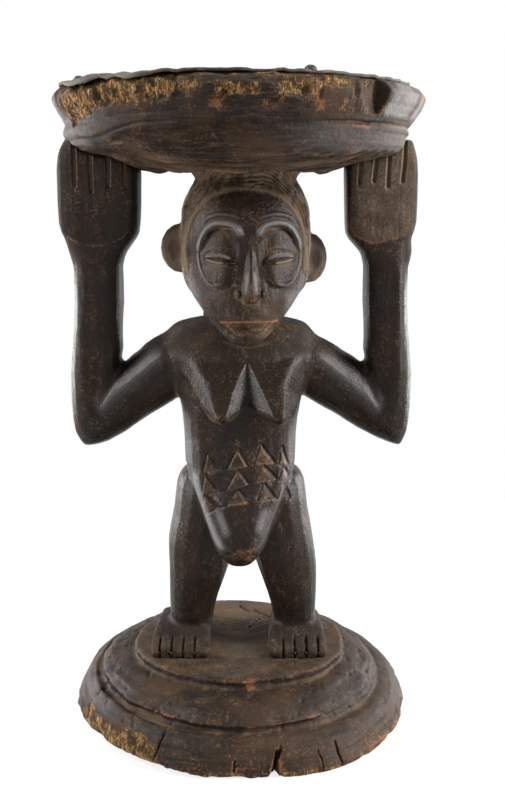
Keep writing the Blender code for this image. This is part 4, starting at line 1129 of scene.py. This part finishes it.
def carve_face(head):
    """Brows, closed eyes, the nose and the mouth."""
    chosen, square = head.seen(FRONT, ((FACE_X - 0.050, 0.320), (FACE_X + 0.050, 0.440)))
    across, up = head.co[chosen, 0] - FACE_X, head.co[chosen, 2]
    rise = nose_relief(across - NOSE_LEAN, up)
    for side in (-1, 1):
        rise += eye_relief(side * across, up)
    head.co[chosen, 1] -= rise * square
    for side in (-1, 1):
        def here(points):
            return curve(mirrored(points, FACE_X, side))

        # Painted highlights on the brows, the eye rims and the lids, where the lamps' sheen would fall; on
        # the lids they lie over red-brown wear
        head.stroke(here(BROW), 0.0038, 0.0036, bell, burnish=0.95)
        head.stroke(here(BROW) - (side * 0.0008, 0.0040), 0.0016, -0.0010, fade=0.2)
        head.stroke(here(BROW_CREASE), 0.0012, -0.0014)
        head.stroke(here(UPPER_BROW), 0.0026, 0.0010, bell, burnish=0.35)
        head.stroke(here(EYE_RIM), 0.0018, 0.0014, bell, fade=0.22, burnish=0.42)
        head.stroke(here(EYE_SHADE), 0.0024, -0.0018, bell, fade=0.3)
        head.stroke(here(EYE_FOLD), 0.0014, 0.0005, bell, dust=0.35)
        head.stroke(here(LID_SHEEN), 0.0015, 0.0, bell, fade=0.2, burnish=1.6, wear=0.45)
        head.stroke(here(LOWER_SHEEN), 0.0014, 0.0, bell, fade=0.2, burnish=1.4, wear=0.40)
        head.stroke(here(EYE_BULGE), 0.0090, 0.0, bell, fade=0.2, dust=0.28)
        head.relax(4, 0.6 * near(head.co, (FACE_X + side * 0.0230, -0.055, 0.3873), (0.018, 0.034, 0.008)))
        wing = (FACE_X + NOSE_LEAN + side * NOSE_WING[0], NOSE_WING[1])
        head.dab(wing, (0.0038, 0.0042), 0.0036)
    middle = FACE_X + NOSE_LEAN
    head.stroke(((middle, 0.3740), (middle, NOSE_TIP - 0.002)), 0.0030, 0.0001, fade=0.2, wear=0.75)
    # Painted highlights down both flanks of the nose
    for side in (-1, 1):
        flank = ((middle + side * 0.0026, 0.3805), (middle + side * 0.0046, 0.3600))
        head.stroke(flank, 0.0024, 0.0, bell, fade=0.3, burnish=0.9)
    lips_top, lips_low, parting = (
        curve([*mirrored(half, FACE_X, -1), *mirrored(half[-2::-1], FACE_X, 1)])
        for half in (LIPS_TOP, LIPS_LOW, LIPS_PARTING))
    head.dab((FACE_X, 0.3385), (0.0280, 0.0190), 0.0022)
    head.patch(np.vstack([lips_top, lips_low[::-1]]), 0.0022, 0.0014, wear=0.48, dust=0.14)
    head.stroke(lips_low, 0.0016, -0.0010, bell, fade=0.1)
    head.stroke(lips_top, 0.0013, 0.0007, bell, fade=0.04, wear=0.55)
    head.stroke(parting, 0.0015, -0.0012, fade=0.1)
    head.stroke(((FACE_X - 0.0070, 0.3314), (FACE_X + 0.0030, 0.3314)), 0.0012, -0.0016)
    chin = ramp(head.co[:, 2], 0.334, 0.327) * ramp(head.co[:, 1], -0.012, -0.026)
    head.relax(36, chin)
    head.marks["dust"] += 0.12 * chin + 0.10
    head.marks["matt"] += 0.22 + 1.2 * ramp(head.co[:, 2], 0.346, 0.339) + ramp(head.co[:, 2], 0.438, 0.450)
    head.blot((FACE_X, -0.060, 0.3480), 0.0240, dust=0.25)
    # A painted highlight on the left cheek, which faces the stronger side lamp
    head.blot((FACE_X + 0.0330, -0.045, 0.3560), 0.0150, burnish=0.5)
    head.blot((HEAD_X + 0.0580, -0.008, 0.3720), 0.0070, wear=0.9)
    head.blot((FACE_X - 0.0290, -0.045, 0.3660), 0.0045, wear=1.0)


# The base

BASE_CRACKS = (
    # points as bearing and height on the plinth's wall, width, depth
    (((-26.0, 0.028), (-26.5, 0.016), (-27.5, 0.006)), 0.0013, 0.0030),
    (((26.0, 0.016), (26.5, 0.008), (26.0, 0.0)), 0.0011, 0.0020),
    (((33.0, 0.018), (32.5, 0.010), (33.0, 0.0)), 0.0013, 0.0030),
    (((-1.0, 0.014), (-1.5, 0.004)), 0.0014, 0.0025),
    (((14.5, 0.021), (12.0, 0.012), (11.0, 0.0)), 0.0018, 0.0050),
)
# A split down the right of the plinth, in space
BASE_SPLIT = ((-0.1110, -0.0460, 0.0350), (-0.1130, -0.0530, 0.0300), (-0.1190, -0.0600, 0.0220),
              (-0.1300, -0.0620, 0.0060))
# Cracks in the dais: across and back
DAIS_CRACKS = (
    ((-0.0021, 0.0724), (0.0040, 0.0640), (0.0084, 0.0558)),
    ((0.0067, 0.0200), (0.0120, 0.0330), (0.0173, 0.0398), (0.0240, 0.0450), (0.0301, 0.0535)),
    ((0.0110, 0.0620), (0.0200, 0.0520), (0.0250, 0.0470)),
)
# A notch broken out of the plinth's lower edge
NOTCH_BEARING = 11.0
NOTCH_HEIGHT = 0.0200
NOTCH_HALF_WIDTH = 0.0042
NOTCH_DEPTH = 0.0085
# The sides of the frame's round solids, and the power of the superellipse that the plinth follows
ROUND_SIDES = 52
LOG_POWER = 2.20


def on_wall(points, radius):
    """Points in space from bearings and heights on a wall of this radius."""
    turns = np.radians([point[0] for point in points])
    return np.stack([radius * np.sin(turns), -radius * np.cos(turns), [point[1] for point in points]], axis=1)


class STOOL_OT_base(bpy.types.Operator):
    """Carve the stepped base"""

    bl_idname = "stool.base"
    bl_label = "Carve Base"

    def execute(self, context):
        sizes, colours = settings()
        base = Carving("carved_base", fused_nodes("base"), WOOD_GRID)
        base.smooth(6)
        z = base.co[:, 2]
        base.round_off(np.nonzero(z < PLINTH_TOP)[0], ROUND_SIDES, LOG_POWER)
        base.round_off(np.nonzero(z >= PLINTH_TOP)[0], ROUND_SIDES)
        base.smooth(5, ramp(z, 0.001, 0.004))
        turns = bearing(base.co)
        front = (np.abs(turns) < 44) & (off_axis(base.co) > 0.126) & (z < PLINTH_TOP + 0.003)
        dais = (z > BASE_HIGH.z - 0.002) & (np.abs(base.co[:, 0] - 0.014) < 0.022) & (base.co[:, 1] > 0.012)
        base.refine(front | dais)
        carve_base(base, sizes)
        base.finish(0.22)
        ready(base.obj, ("base",), wood_finish("base_wood", colours))
        return {"FINISHED"}


def carve_base(base, sizes):
    """Chopped walls, a chipped lip, cracks from the edge, grain on the dais, and dust on the tops that on the
    dais is also painted light.
    """
    # A view of the heights, which follows the cuts
    z = base.co[:, 2]
    radius = off_axis(base.co)
    turns = bearing(base.co)
    sway = 0.0020 * noise(base.co, (0.030, 0.030, 0.012), 48)
    sway += 0.0009 * noise(base.co, (0.010, 0.010, 0.008), 49)
    base.swell(radius, sway * ramp(z, 0.027, 0.032))
    hewn = -0.0045 * bell((turns + 56) / 30) * ramp(z, 0.022, 0.003)
    hewn += 0.0018 * bell((turns - 32) / 24) * ramp(z, 0.014, 0.000)
    base.swell(radius, hewn * ramp(radius, 0.118, 0.128))
    wall = ramp(radius, 0.108, 0.116) * ramp(z, 0.0, 0.002)
    rough = noise(base.co, (0.026, 0.026, 0.016), 41) + 0.6 * noise(base.co, (0.011, 0.011, 0.008), 42)
    lip = ramp(z, 0.024, 0.030) * ramp(z, 0.047, 0.041) * ramp(radius, 0.100, 0.112)
    chips = np.clip(noise(base.co, (0.012, 0.012, 0.010), 43) - 0.35, 0, 1)
    base.push(0.00035 * noise(base.co, (0.028, 0.028, 0.0018), 50) * ramp(radius, 0.070, 0.080))
    chipped = 0.0009 * noise(base.co, (0.030, 0.030, 0.04), 44) - 0.0030 * chips
    base.push(0.0007 * rough * wall + lip * chipped)
    low = ramp(z, 0.016, 0.0) * ramp(radius, 0.130, 0.136)
    base.push(-0.0022 * low * np.clip(noise(base.co, (0.010, 0.010, 0.020), 45), 0, 1))
    for foot, span in ((PLINTH_TOP, (0.104, 0.128)), (STEP_TOP, (0.078, 0.099))):
        at_foot = bell((z - foot - 0.0024) / 0.0034)
        base.push(-0.0024 * at_foot * ramp(radius, *span) * ramp(radius, span[1], span[1] - 0.004))
    base.tool_marks(sizes.tool_marks * 1.5, (0.017, 0.017, 0.012), 23)

    top = ramp(z, BASE_HIGH.z - 0.003, BASE_HIGH.z - 0.0008)
    rings = np.hypot(base.co[:, 0] * 0.35, base.co[:, 1] - 0.030) + 0.004 * noise(base.co, 0.02, 46)
    base.push(0.00022 * top * np.sin(2 * np.pi * rings / 0.0034))

    width = NOTCH_HALF_WIDTH * (1 - 0.72 * np.clip(z / NOTCH_HEIGHT, 0, 1))
    off = np.abs(np.radians(turns - NOTCH_BEARING - 90 * z)) * radius
    notch = tent(off / width) * ramp(z, NOTCH_HEIGHT, NOTCH_HEIGHT * 0.5) * ramp(radius, 0.118, 0.130)
    base.swell(radius, -NOTCH_DEPTH * np.clip(notch * 1.6, 0, 1))
    for points, span, depth in BASE_CRACKS:
        base.score(points, span, depth, wall=0.140)
    base.score(curve(BASE_SPLIT), 0.0032, 0.0030)
    for points in DAIS_CRACKS:
        line = [(*point, BASE_HIGH.z) for point in points]
        base.score(curve(line), 0.0026, 0.0060, fade=0.05)

    # Dust on upward faces, and over the dais top less at its front edge: on the dais this is also painted
    # light, lightening it where the figure shades it
    up = np.clip(base.normals()[:, 2], 0, 1)
    amount_laid = 0.24 + 0.20 * ramp(base.co[:, 1], -0.055, -0.020)
    base.marks["dust"] += 0.16 * up * ramp(z, 0.012, 0.034) + top * amount_laid
    pits = np.clip(noise(base.co, 0.0042, 47) - 0.52, 0, 1) * ramp(z, 0.020, 0.028)
    base.push(-0.0035 * pits * (1 - 0.8 * top))
    base.marks["dust"] += 0.12 * ramp(np.abs(z - BASE_HIGH.z * 0.52), 0.004, 0.001)
    scraped = ramp(turns, -72, -62) * ramp(turns, -22, -34) * ramp(z, 0.027, 0.011)
    base.marks["bare"] += scraped * ramp(radius, 0.126, 0.134) * 0.95
    edge = ramp(z, 0.009, 0.001) * ramp(radius, 0.130, 0.138) * ramp(np.abs(turns), 120, 70)
    base.marks["bare"] += 0.45 * edge
    base.marks["wear"] += 0.52 * ramp(z, 0.024, 0.006) * ramp(radius, 0.126, 0.134)
    base.blot((0.008, -0.079, 0.0440), 0.010, wear=1.1)
    base.blot((-0.060, -0.108, 0.0330), 0.016, wear=0.6)
    base.blot((0.060, -0.108, 0.0290), 0.010, wear=0.6)
    base.co[:, 2] = np.maximum(base.co[:, 2], 0.0)


# The seat

# Where the torn wood of the rim begins: bearing and height. Then the bearings of its two ends
TORN_LIMIT = ((-75.0, 0.4950), (-62.0, 0.4885), (-50.0, 0.4925), (-38.0, 0.4985), (-28.0, 0.5015),
              (-12.0, 0.5010), (10.0, 0.4990), (32.0, 0.5010), (44.0, 0.5080))
TORN_ENDS = (-72.0, 45.0)
# Rubbed spots on the rim: bearing and height
RIM_SPOTS = ((38.0, 0.4885), (42.0, 0.4862), (8.0, 0.4880), (-6.0, 0.4985), (24.0, 0.4955), (47.0, 0.4930))
SEAT_STEP = 0.4852
# On the right the step lies lower, and the tier under it is cut back to the fingers
LOW_STEP = 0.4748
LOW_STEP_INSET = 0.0055
TIER_MIDDLE, TIER_HALF, TIER_SWELL = 0.4815, 0.0085, 0.0042


class STOOL_OT_seat(bpy.types.Operator):
    """Carve the round seat"""

    bl_idname = "stool.seat"
    bl_label = "Carve Seat"

    def execute(self, context):
        sizes, colours = settings()
        seat = Carving("carved_seat", fused_nodes("seat"), WOOD_GRID)
        seat.smooth(5)
        seat.round_off(np.arange(len(seat.co)), ROUND_SIDES)
        turns = bearing(seat.co)
        broken = ramp(turns, 30, 34) * ramp(turns, 52, 48)
        seat.smooth(10, 1 - 0.9 * broken)
        torn = (turns > TORN_ENDS[0] - 4) & (turns < 52) & (off_axis(seat.co) > 0.128)
        seat.refine(torn & (seat.co[:, 2] > 0.486))
        carve_seat(seat, sizes)
        seat.finish(0.30)
        ready(seat.obj, ("seat",), wood_finish("seat_wood", colours))
        return {"FINISHED"}


def carve_seat(seat, sizes):
    """A torn rim with bare fibres, a split face, adzed tiers, a rough underside, and painted highlights on
    the step, the tier and the band.
    """
    # A view of the heights, which follows the cuts
    z = seat.co[:, 2]
    radius = off_axis(seat.co)
    turns = bearing(seat.co)
    seat.tool_marks(sizes.tool_marks * 1.3, (0.022, 0.022, 0.011), 31)
    seat.push(0.00028 * noise(seat.co, (0.030, 0.030, 0.0018), 28) * ramp(radius, 0.110, 0.120))
    low = low_side(turns)
    wall = low * ramp(radius, 0.098, 0.112)
    seat.relax(30, wall * bell((z - SEAT_STEP) / 0.0090))
    inward = LOW_STEP_INSET * ramp(z, LOW_STEP + 0.0004, LOW_STEP - 0.0016)
    inward = inward - TIER_SWELL * bell((z - TIER_MIDDLE) / TIER_HALF)
    seat.swell(radius, -wall * inward)
    seat.co[:, 2] += raised(seat.co) * ramp(z, *UNDERSIDE_BAND)
    step = z + 0.0008 * noise(seat.co, (0.018, 0.018, 0.05), 27) - SEAT_STEP - (LOW_STEP - SEAT_STEP) * low
    cut = ramp(noise(seat.co, (0.026, 0.026, 0.05), 26), -0.55, 0.25) * ramp(radius, 0.110, 0.118)
    seat.push(cut * (0.0009 * bell((step + 0.0022) / 0.0022)
                     - 0.0014 * bell((step - 0.0010) / 0.0016)))
    under = ramp(z, SEAT_LOW.z + 0.016, SEAT_LOW.z + 0.010) * ramp(radius, 0.056, 0.066)
    streaks = noise(seat.co, (0.050, 0.0060, 0.0060), 33) + 0.7 * noise(seat.co, (0.016, 0.0032, 0.0040), 34)
    seat.push(0.0028 * streaks * under)
    seat.marks["dust"] += under * (0.22 + 0.50 * streaks)
    seat.marks["matt"] += ramp(step, 0.001, -0.003) * (0.25 + 0.65 * ramp(turns, 20, -20))
    # Painted highlights along the step's crest, most at the figure's right, and more faintly on the tier
    # under the step on the left
    crest = bell((step - 0.0002) / 0.0022) * ramp(radius, 0.110, 0.118)
    sheen = 1.2 * ramp(turns, -48, -66) + 0.7 * ramp(turns, 44, 62)
    seat.marks["burnish"] += crest * sheen * ramp(np.abs(turns), 125, 105)
    tier = 0.30 * ramp(step, 0.000, -0.004) * ramp(turns, 2, 30) * ramp(turns, 110, 90)
    seat.marks["burnish"] += tier * ramp(z, 0.464, 0.470)

    limit = np.interp(turns, *np.transpose(TORN_LIMIT))
    limit = limit + 0.0035 * noise(seat.co, (0.011, 0.011, 0.05), 35)
    limit = limit + 0.0016 * noise(seat.co, (0.004, 0.004, 0.02), 36)
    torn = ramp(z, limit - 0.0012, limit + 0.0014) * ramp(radius, 0.1340, 0.1370)
    torn = torn * ramp(turns, TORN_ENDS[0], TORN_ENDS[0] + 5) * ramp(turns, TORN_ENDS[1], TORN_ENDS[1] - 1.5)
    patchy = ramp(noise(seat.co, (0.022, 0.022, 0.012), 37), -0.45, 0.10)
    patchy = patchy + (1 - patchy) * ramp(turns, -14, -34) * 0.85
    bare = torn * patchy * (0.72 + 0.28 * ramp(turns, -10, -30))
    flutes = 0.5 * noise(seat.co, (0.0035, 0.0035, 0.020), 38) + noise(seat.co, (0.0085, 0.0085, 0.014), 39)
    seat.push(-sizes.fibres * bare * (0.75 + 0.85 * flutes))
    seat.marks["bare"] += bare * (0.62 + 0.30 * flutes)
    band = ramp(z, SEAT_STEP + 0.004, SEAT_STEP + 0.010) * ramp(radius, 0.130, 0.134)
    streaky = ramp(noise(seat.co, (0.040, 0.040, 0.0045), 29), -0.10, 0.45)
    streaky = streaky * ramp(turns, 52, 40) * ramp(turns, -90, -60)
    seat.marks["bare"] += 0.32 * band * streaky
    seat.marks["wear"] += 0.42 * band * ramp(turns, 52, 40)
    # The band's left end is painted lighter: the dust colour and a painted highlight stand for the lamp's
    # light on it, over red-brown wear in spots
    end = band * ramp(turns, 47, 50) * ramp(turns, 110, 90)
    seat.marks["dust"] += 0.35 * end
    seat.marks["burnish"] += end * (0.60 + 0.9 * noise(seat.co, 0.009, 25))
    seat.marks["wear"] += 0.8 * end * noise(seat.co, 0.007, 24)

    broken = ramp(turns, 33.5, 35.0) * ramp(turns, 46.5, 45.5)
    broken = broken * ramp(z, 0.491, 0.494) * ramp(radius, 0.126, 0.131)
    lines = noise(seat.co, (0.0022, 0.0022, 0.050), 40)
    seat.push(0.00055 * broken * lines)
    seat.marks["bare"] += broken * (0.05 * lines - 0.30)
    seat.marks["wear"] -= 0.25 * broken
    seat.score(on_wall(((33.6, 0.516), (34.2, 0.504), (33.4, 0.493)), 0.1460), 0.0030, 0.0012)
    for spot in on_wall(RIM_SPOTS, 0.1370):
        seat.blot(spot, 0.0110, wear=0.50)
    # A painted highlight on the band at the figure's right
    seat.marks["burnish"] += 0.9 * band * ramp(turns, -70, -80) * ramp(turns, -115, -100)
    seat.blot(on_wall(((-75.0, 0.508),), 0.1455)[0], 0.0045, bare=1.3)


# The hide and its tacks

# How far the hide reaches from the middle, along itself: bearing and length
HIDE_EDGE = ((-180.0, 0.1345), (-110.0, 0.1350), (-84.0, 0.1380), (-70.0, 0.1412), (-60.0, 0.1440),
             (-46.0, 0.1468), (-36.0, 0.1446), (-28.0, 0.1455), (-20.0, 0.1405), (-12.0, 0.1372),
             (0.0, 0.1352), (40.0, 0.1340), (90.0, 0.1350), (180.0, 0.1345))
HIDE_RINGS = 46
HIDE_TURNS = 240
# How far the hide lies above the wood
HIDE_LIFT = 0.0006
# Below 1, the rings crowd towards the edge
HIDE_CROWDING = 0.72
TACK_TURNS = 40


class STOOL_OT_hide(bpy.types.Operator):
    """Stretch the dried hide over the seat"""

    bl_idname = "stool.hide"
    bl_label = "Stretch Hide"

    def execute(self, context):
        sizes, colours = settings()
        reach = np.linspace(0, 1, HIDE_RINGS) ** HIDE_CROWDING
        bm = spun([(share, 0.0) for share in reach], Vector(), HIDE_TURNS)
        flat = np.array([vert.co for vert in bm.verts])
        length, places = drape(flat)
        area = 0.5 * np.mean(length ** 2) * 2 * math.pi
        for vert, place in zip(bm.verts, places):
            vert.co = place
        hide = finished_object("dried_hide", bm)
        solid = hide.modifiers.new("thickness", "SOLIDIFY")
        solid.thickness = sizes.hide
        solid.offset = 1.0
        apply_modifiers(hide)
        hide.data.shade_smooth()
        ready(hide, ("hide_cover",), hide_finish(colours))
        2 * length.max()
        2 * length.max()
        return {"FINISHED"}


def drape(flat):
    """Lays a flat disc of radius 1 over the dish and the rim: the hide's radius there, and its points."""
    share = off_axis(flat)
    turns = bearing(np.where(share[:, None] > 0, flat, (0.0, -1.0, 0.0)))
    away = np.stack([np.sin(np.radians(turns)), -np.cos(np.radians(turns)), np.zeros(len(flat))], axis=1)
    length = np.interp(turns, *np.transpose(HIDE_EDGE))
    length = length + 0.0020 * noise(away, 0.11, 51) + 0.0013 * noise(away, 0.035, 52)
    length = length + 0.0011 * noise(away, 0.01125, 56)
    top = SEAT_HIGH.z + HIDE_LIFT
    rise = SEAT_HIGH.z - 0.0030 + HIDE_LIFT
    path = np.array(((0.0, rise), (0.0990, rise), (0.1025, rise + 0.0004), (0.1140, top - 0.0003),
                     (0.1175, top), (0.1375, top), (0.1410, top - 0.0008), (0.1445, top - 0.0028),
                     (0.1475, top - 0.0074), (0.1468, top - 0.0140)))
    steps = np.concatenate([[0], np.cumsum(np.linalg.norm(np.diff(path, axis=0), axis=1))])
    at = share * length
    radius = np.interp(at, steps, path[:, 0])
    level = np.interp(at, steps, path[:, 1])
    free = ramp(at, length - 0.010, length) * ramp(length, 0.1400, 0.1365)
    folds = np.clip(noise(away, 0.045, 53) + 0.3, 0, 1)
    places = away * radius[:, None]
    pucker = 0.0005 * ramp(noise(places, 0.016, 54), -0.2, 0.8) + 0.0009 * free * folds
    bumps = ramp(turns, -4, -24) * ramp(turns, -130, -100) * ramp(at, 0.118, 0.130)
    places[:, 2] = level + pucker + 0.0013 * bumps * (noise(away, 0.085, 57) + 0.6 * noise(away, 0.033, 58))
    over = ramp(at, 0.1390, 0.1450)
    places += away * (over * 0.0007 * (1 + noise(away, 0.030, 55)))[:, None]
    return length, places


class STOOL_OT_tacks(bpy.types.Operator):
    """Drive the dome-headed tacks through the hide"""

    bl_idname = "stool.tacks"
    bl_label = "Drive Tacks"

    def execute(self, context):
        finish = tack_finish(settings()[1])
        for number, node in enumerate(TACK_NODES):
            low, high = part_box(node)
            tack = finished_object(f"dome_{node}", tack_mesh(low, high, number))
            ready(tack, (node,), finish)
        return {"FINISHED"}


def tack_mesh(low, high, number):
    """A hammered dome over a thin rim, with a pointed shank."""
    middle = (low + high) / 2
    head = (high.x - low.x) / 2
    rim = high.z - head * 0.86
    shank = head * 0.22
    outline = [(0.0, low.z), (shank * 0.5, low.z + 0.0012), (shank, low.z + 0.0045), (shank, rim - 0.0002),
               (head * 0.90, rim - 0.0002), (head * 0.985, rim), (head, rim + 0.0004),
               (head * 0.975, rim + 0.0009)]
    for turn in range(22, 91, 8):
        angle = math.radians(turn)
        height = rim + 0.0006 + (high.z - rim - 0.0006) * math.sin(angle)
        outline.append((head * 0.955 * math.cos(angle), height))
    outline[-1] = (0.0, high.z)
    bm = spun(outline, middle, TACK_TURNS)
    places = np.array([vert.co for vert in bm.verts])
    dents = 0.00022 * noise(places, 0.0030, 61 + number) * ramp(places[:, 2], rim, rim + 0.0015)
    for vert, dent in zip(bm.verts, dents):
        vert.co.z += min(dent, high.z - vert.co.z)
    return bm


# The stage

class STOOL_OT_stage(bpy.types.Operator):
    """Set up the floor, the light and the camera"""

    bl_idname = "stool.stage"
    bl_label = "Set Stage"

    def execute(self, context):
        scene = context.scene
        scene.view_settings.view_transform = "Standard"
        make_floor()
        make_world(scene)
        for name, place, size, power in LAMPS:
            add_lamp(name, place, size, power)
        camera = bpy.data.objects.new("camera", bpy.data.cameras.new("camera"))
        scene.collection.objects.link(camera)
        camera.location = CAMERA_PLACE
        camera.rotation_euler = (math.radians(CAMERA_PITCH), 0, 0)
        camera.data.lens = CAMERA_LENS
        scene.camera = camera
        return {"FINISHED"}


CAMERA_PLACE = (0.0108, -0.843, 0.439)
CAMERA_PITCH = 78.4
CAMERA_LENS = 45.77
LAMP_AIM = Vector((0, 0, 0.28))
LAMPS = (
    # name, place, width and height, power in watts
    ("right_softbox", (-1.08, -0.24, 0.78), (0.32, 1.0), 25.0),
    ("left_softbox", (1.08, -0.24, 0.78), (0.32, 1.0), 35.0),
    ("right_rim", (-0.95, 0.72, 0.32), (0.22, 0.9), 12.5),
    ("left_rim", (0.95, 0.72, 0.32), (0.22, 0.9), 12.5),
    ("top_softbox", (0.0, 0.15, 1.55), (0.9, 0.5), 2.8),
    ("front_fill", (0.0, -1.9, 0.95), (1.6, 1.0), 1.5),
)
WHITE = (1.0, 1.0, 1.0, 1.0)
FLOOR_HALF = 6.0
FLOOR_COLOUR = (0.86, 0.86, 0.85)
WORLD_LIGHT = 0.10


def add_lamp(name, place, size, power):
    lamp = bpy.data.lights.new(name, "AREA")
    lamp.shape = "RECTANGLE"
    lamp.size, lamp.size_y = size
    lamp.energy = power
    obj = bpy.data.objects.new(name, lamp)
    bpy.context.scene.collection.objects.link(obj)
    obj.location = place
    obj.rotation_euler = (LAMP_AIM - Vector(place)).to_track_quat("-Z", "Y").to_euler()


def background_rays(finish):
    """1 for the rays that show the background: the camera's, and those in gloss and glass."""
    paths = [finish.node("ShaderNodeLightPath", output=name)
             for name in ("Is Camera Ray", "Is Glossy Ray", "Is Transmission Ray")]
    return paths[0].math("MAXIMUM", paths[0], paths[1].math("MAXIMUM", paths[1], paths[2]))


def make_floor():
    """A pale floor that keeps the stool's shadow and fades to white away from it."""
    bm = bmesh.new()
    bmesh.ops.create_grid(bm, x_segments=2, y_segments=2, size=FLOOR_HALF)
    floor = finished_object("floor", bm)
    f = Finish(bpy.data.materials.new("pale_floor"))
    away = f.node("ShaderNodeVectorMath", {"operation": "LENGTH"}, {0: f.object_place}, output="Value")
    share = background_rays(f) * (0.82 + 0.18 * away.ramp(0.22, 0.75))
    matt = f.node("ShaderNodeBsdfDiffuse", None, {"Color": (*FLOOR_COLOUR, 1.0)})
    glow = f.node("ShaderNodeEmission", None, {"Color": WHITE, "Strength": 1.0})
    mixed = f.node("ShaderNodeMixShader", None, {0: share, 1: matt, 2: glow})
    f.node("ShaderNodeOutputMaterial", None, {"Surface": mixed})
    floor.data.materials.append(f.owner)


def make_world(scene):
    """A dim studio that shows white behind the stool."""
    f = Finish(bpy.data.worlds.new("studio"))
    level = WORLD_LIGHT + (1 - WORLD_LIGHT) * background_rays(f)
    shade = f.node("ShaderNodeBackground", None, {"Color": WHITE, "Strength": level})
    f.node("ShaderNodeOutputWorld", None, {"Surface": shade})
    scene.world = f.owner


class STOOL_PT_panel(bpy.types.Panel):
    """Lists the stool's sizes, colours and pieces"""

    bl_idname = "STOOL_PT_panel"
    bl_label = "Caryatid Stool"
    bl_space_type = "VIEW_3D"
    bl_region_type = "UI"
    bl_category = "Stool"

    def draw(self, context):
        for group in (context.scene.stool_sizes, context.scene.stool_colours):
            box = self.layout.box()
            for name in group.__annotations__:
                box.prop(group, name)
        for operator in OPERATORS:
            self.layout.operator(operator.bl_idname)


OPERATORS = (STOOL_OT_base, STOOL_OT_body, STOOL_OT_head, STOOL_OT_seat, STOOL_OT_hide, STOOL_OT_tacks,
             STOOL_OT_stage)
CLASSES = (StoolSizes, StoolColours, *OPERATORS, STOOL_PT_panel)


def register():
    for cls in CLASSES:
        bpy.utils.register_class(cls)
    bpy.types.Scene.stool_sizes = PointerProperty(type=StoolSizes)
    bpy.types.Scene.stool_colours = PointerProperty(type=StoolColours)


def unregister():
    del bpy.types.Scene.stool_colours
    del bpy.types.Scene.stool_sizes
    for cls in reversed(CLASSES):
        bpy.utils.unregister_class(cls)


def main():
    register()
    bpy.ops.stool.base()
    bpy.ops.stool.body()
    bpy.ops.stool.head()
    bpy.ops.stool.seat()
    bpy.ops.stool.hide()
    bpy.ops.stool.tacks()
    bpy.ops.stool.stage()


if __name__ == "__main__":
    main()
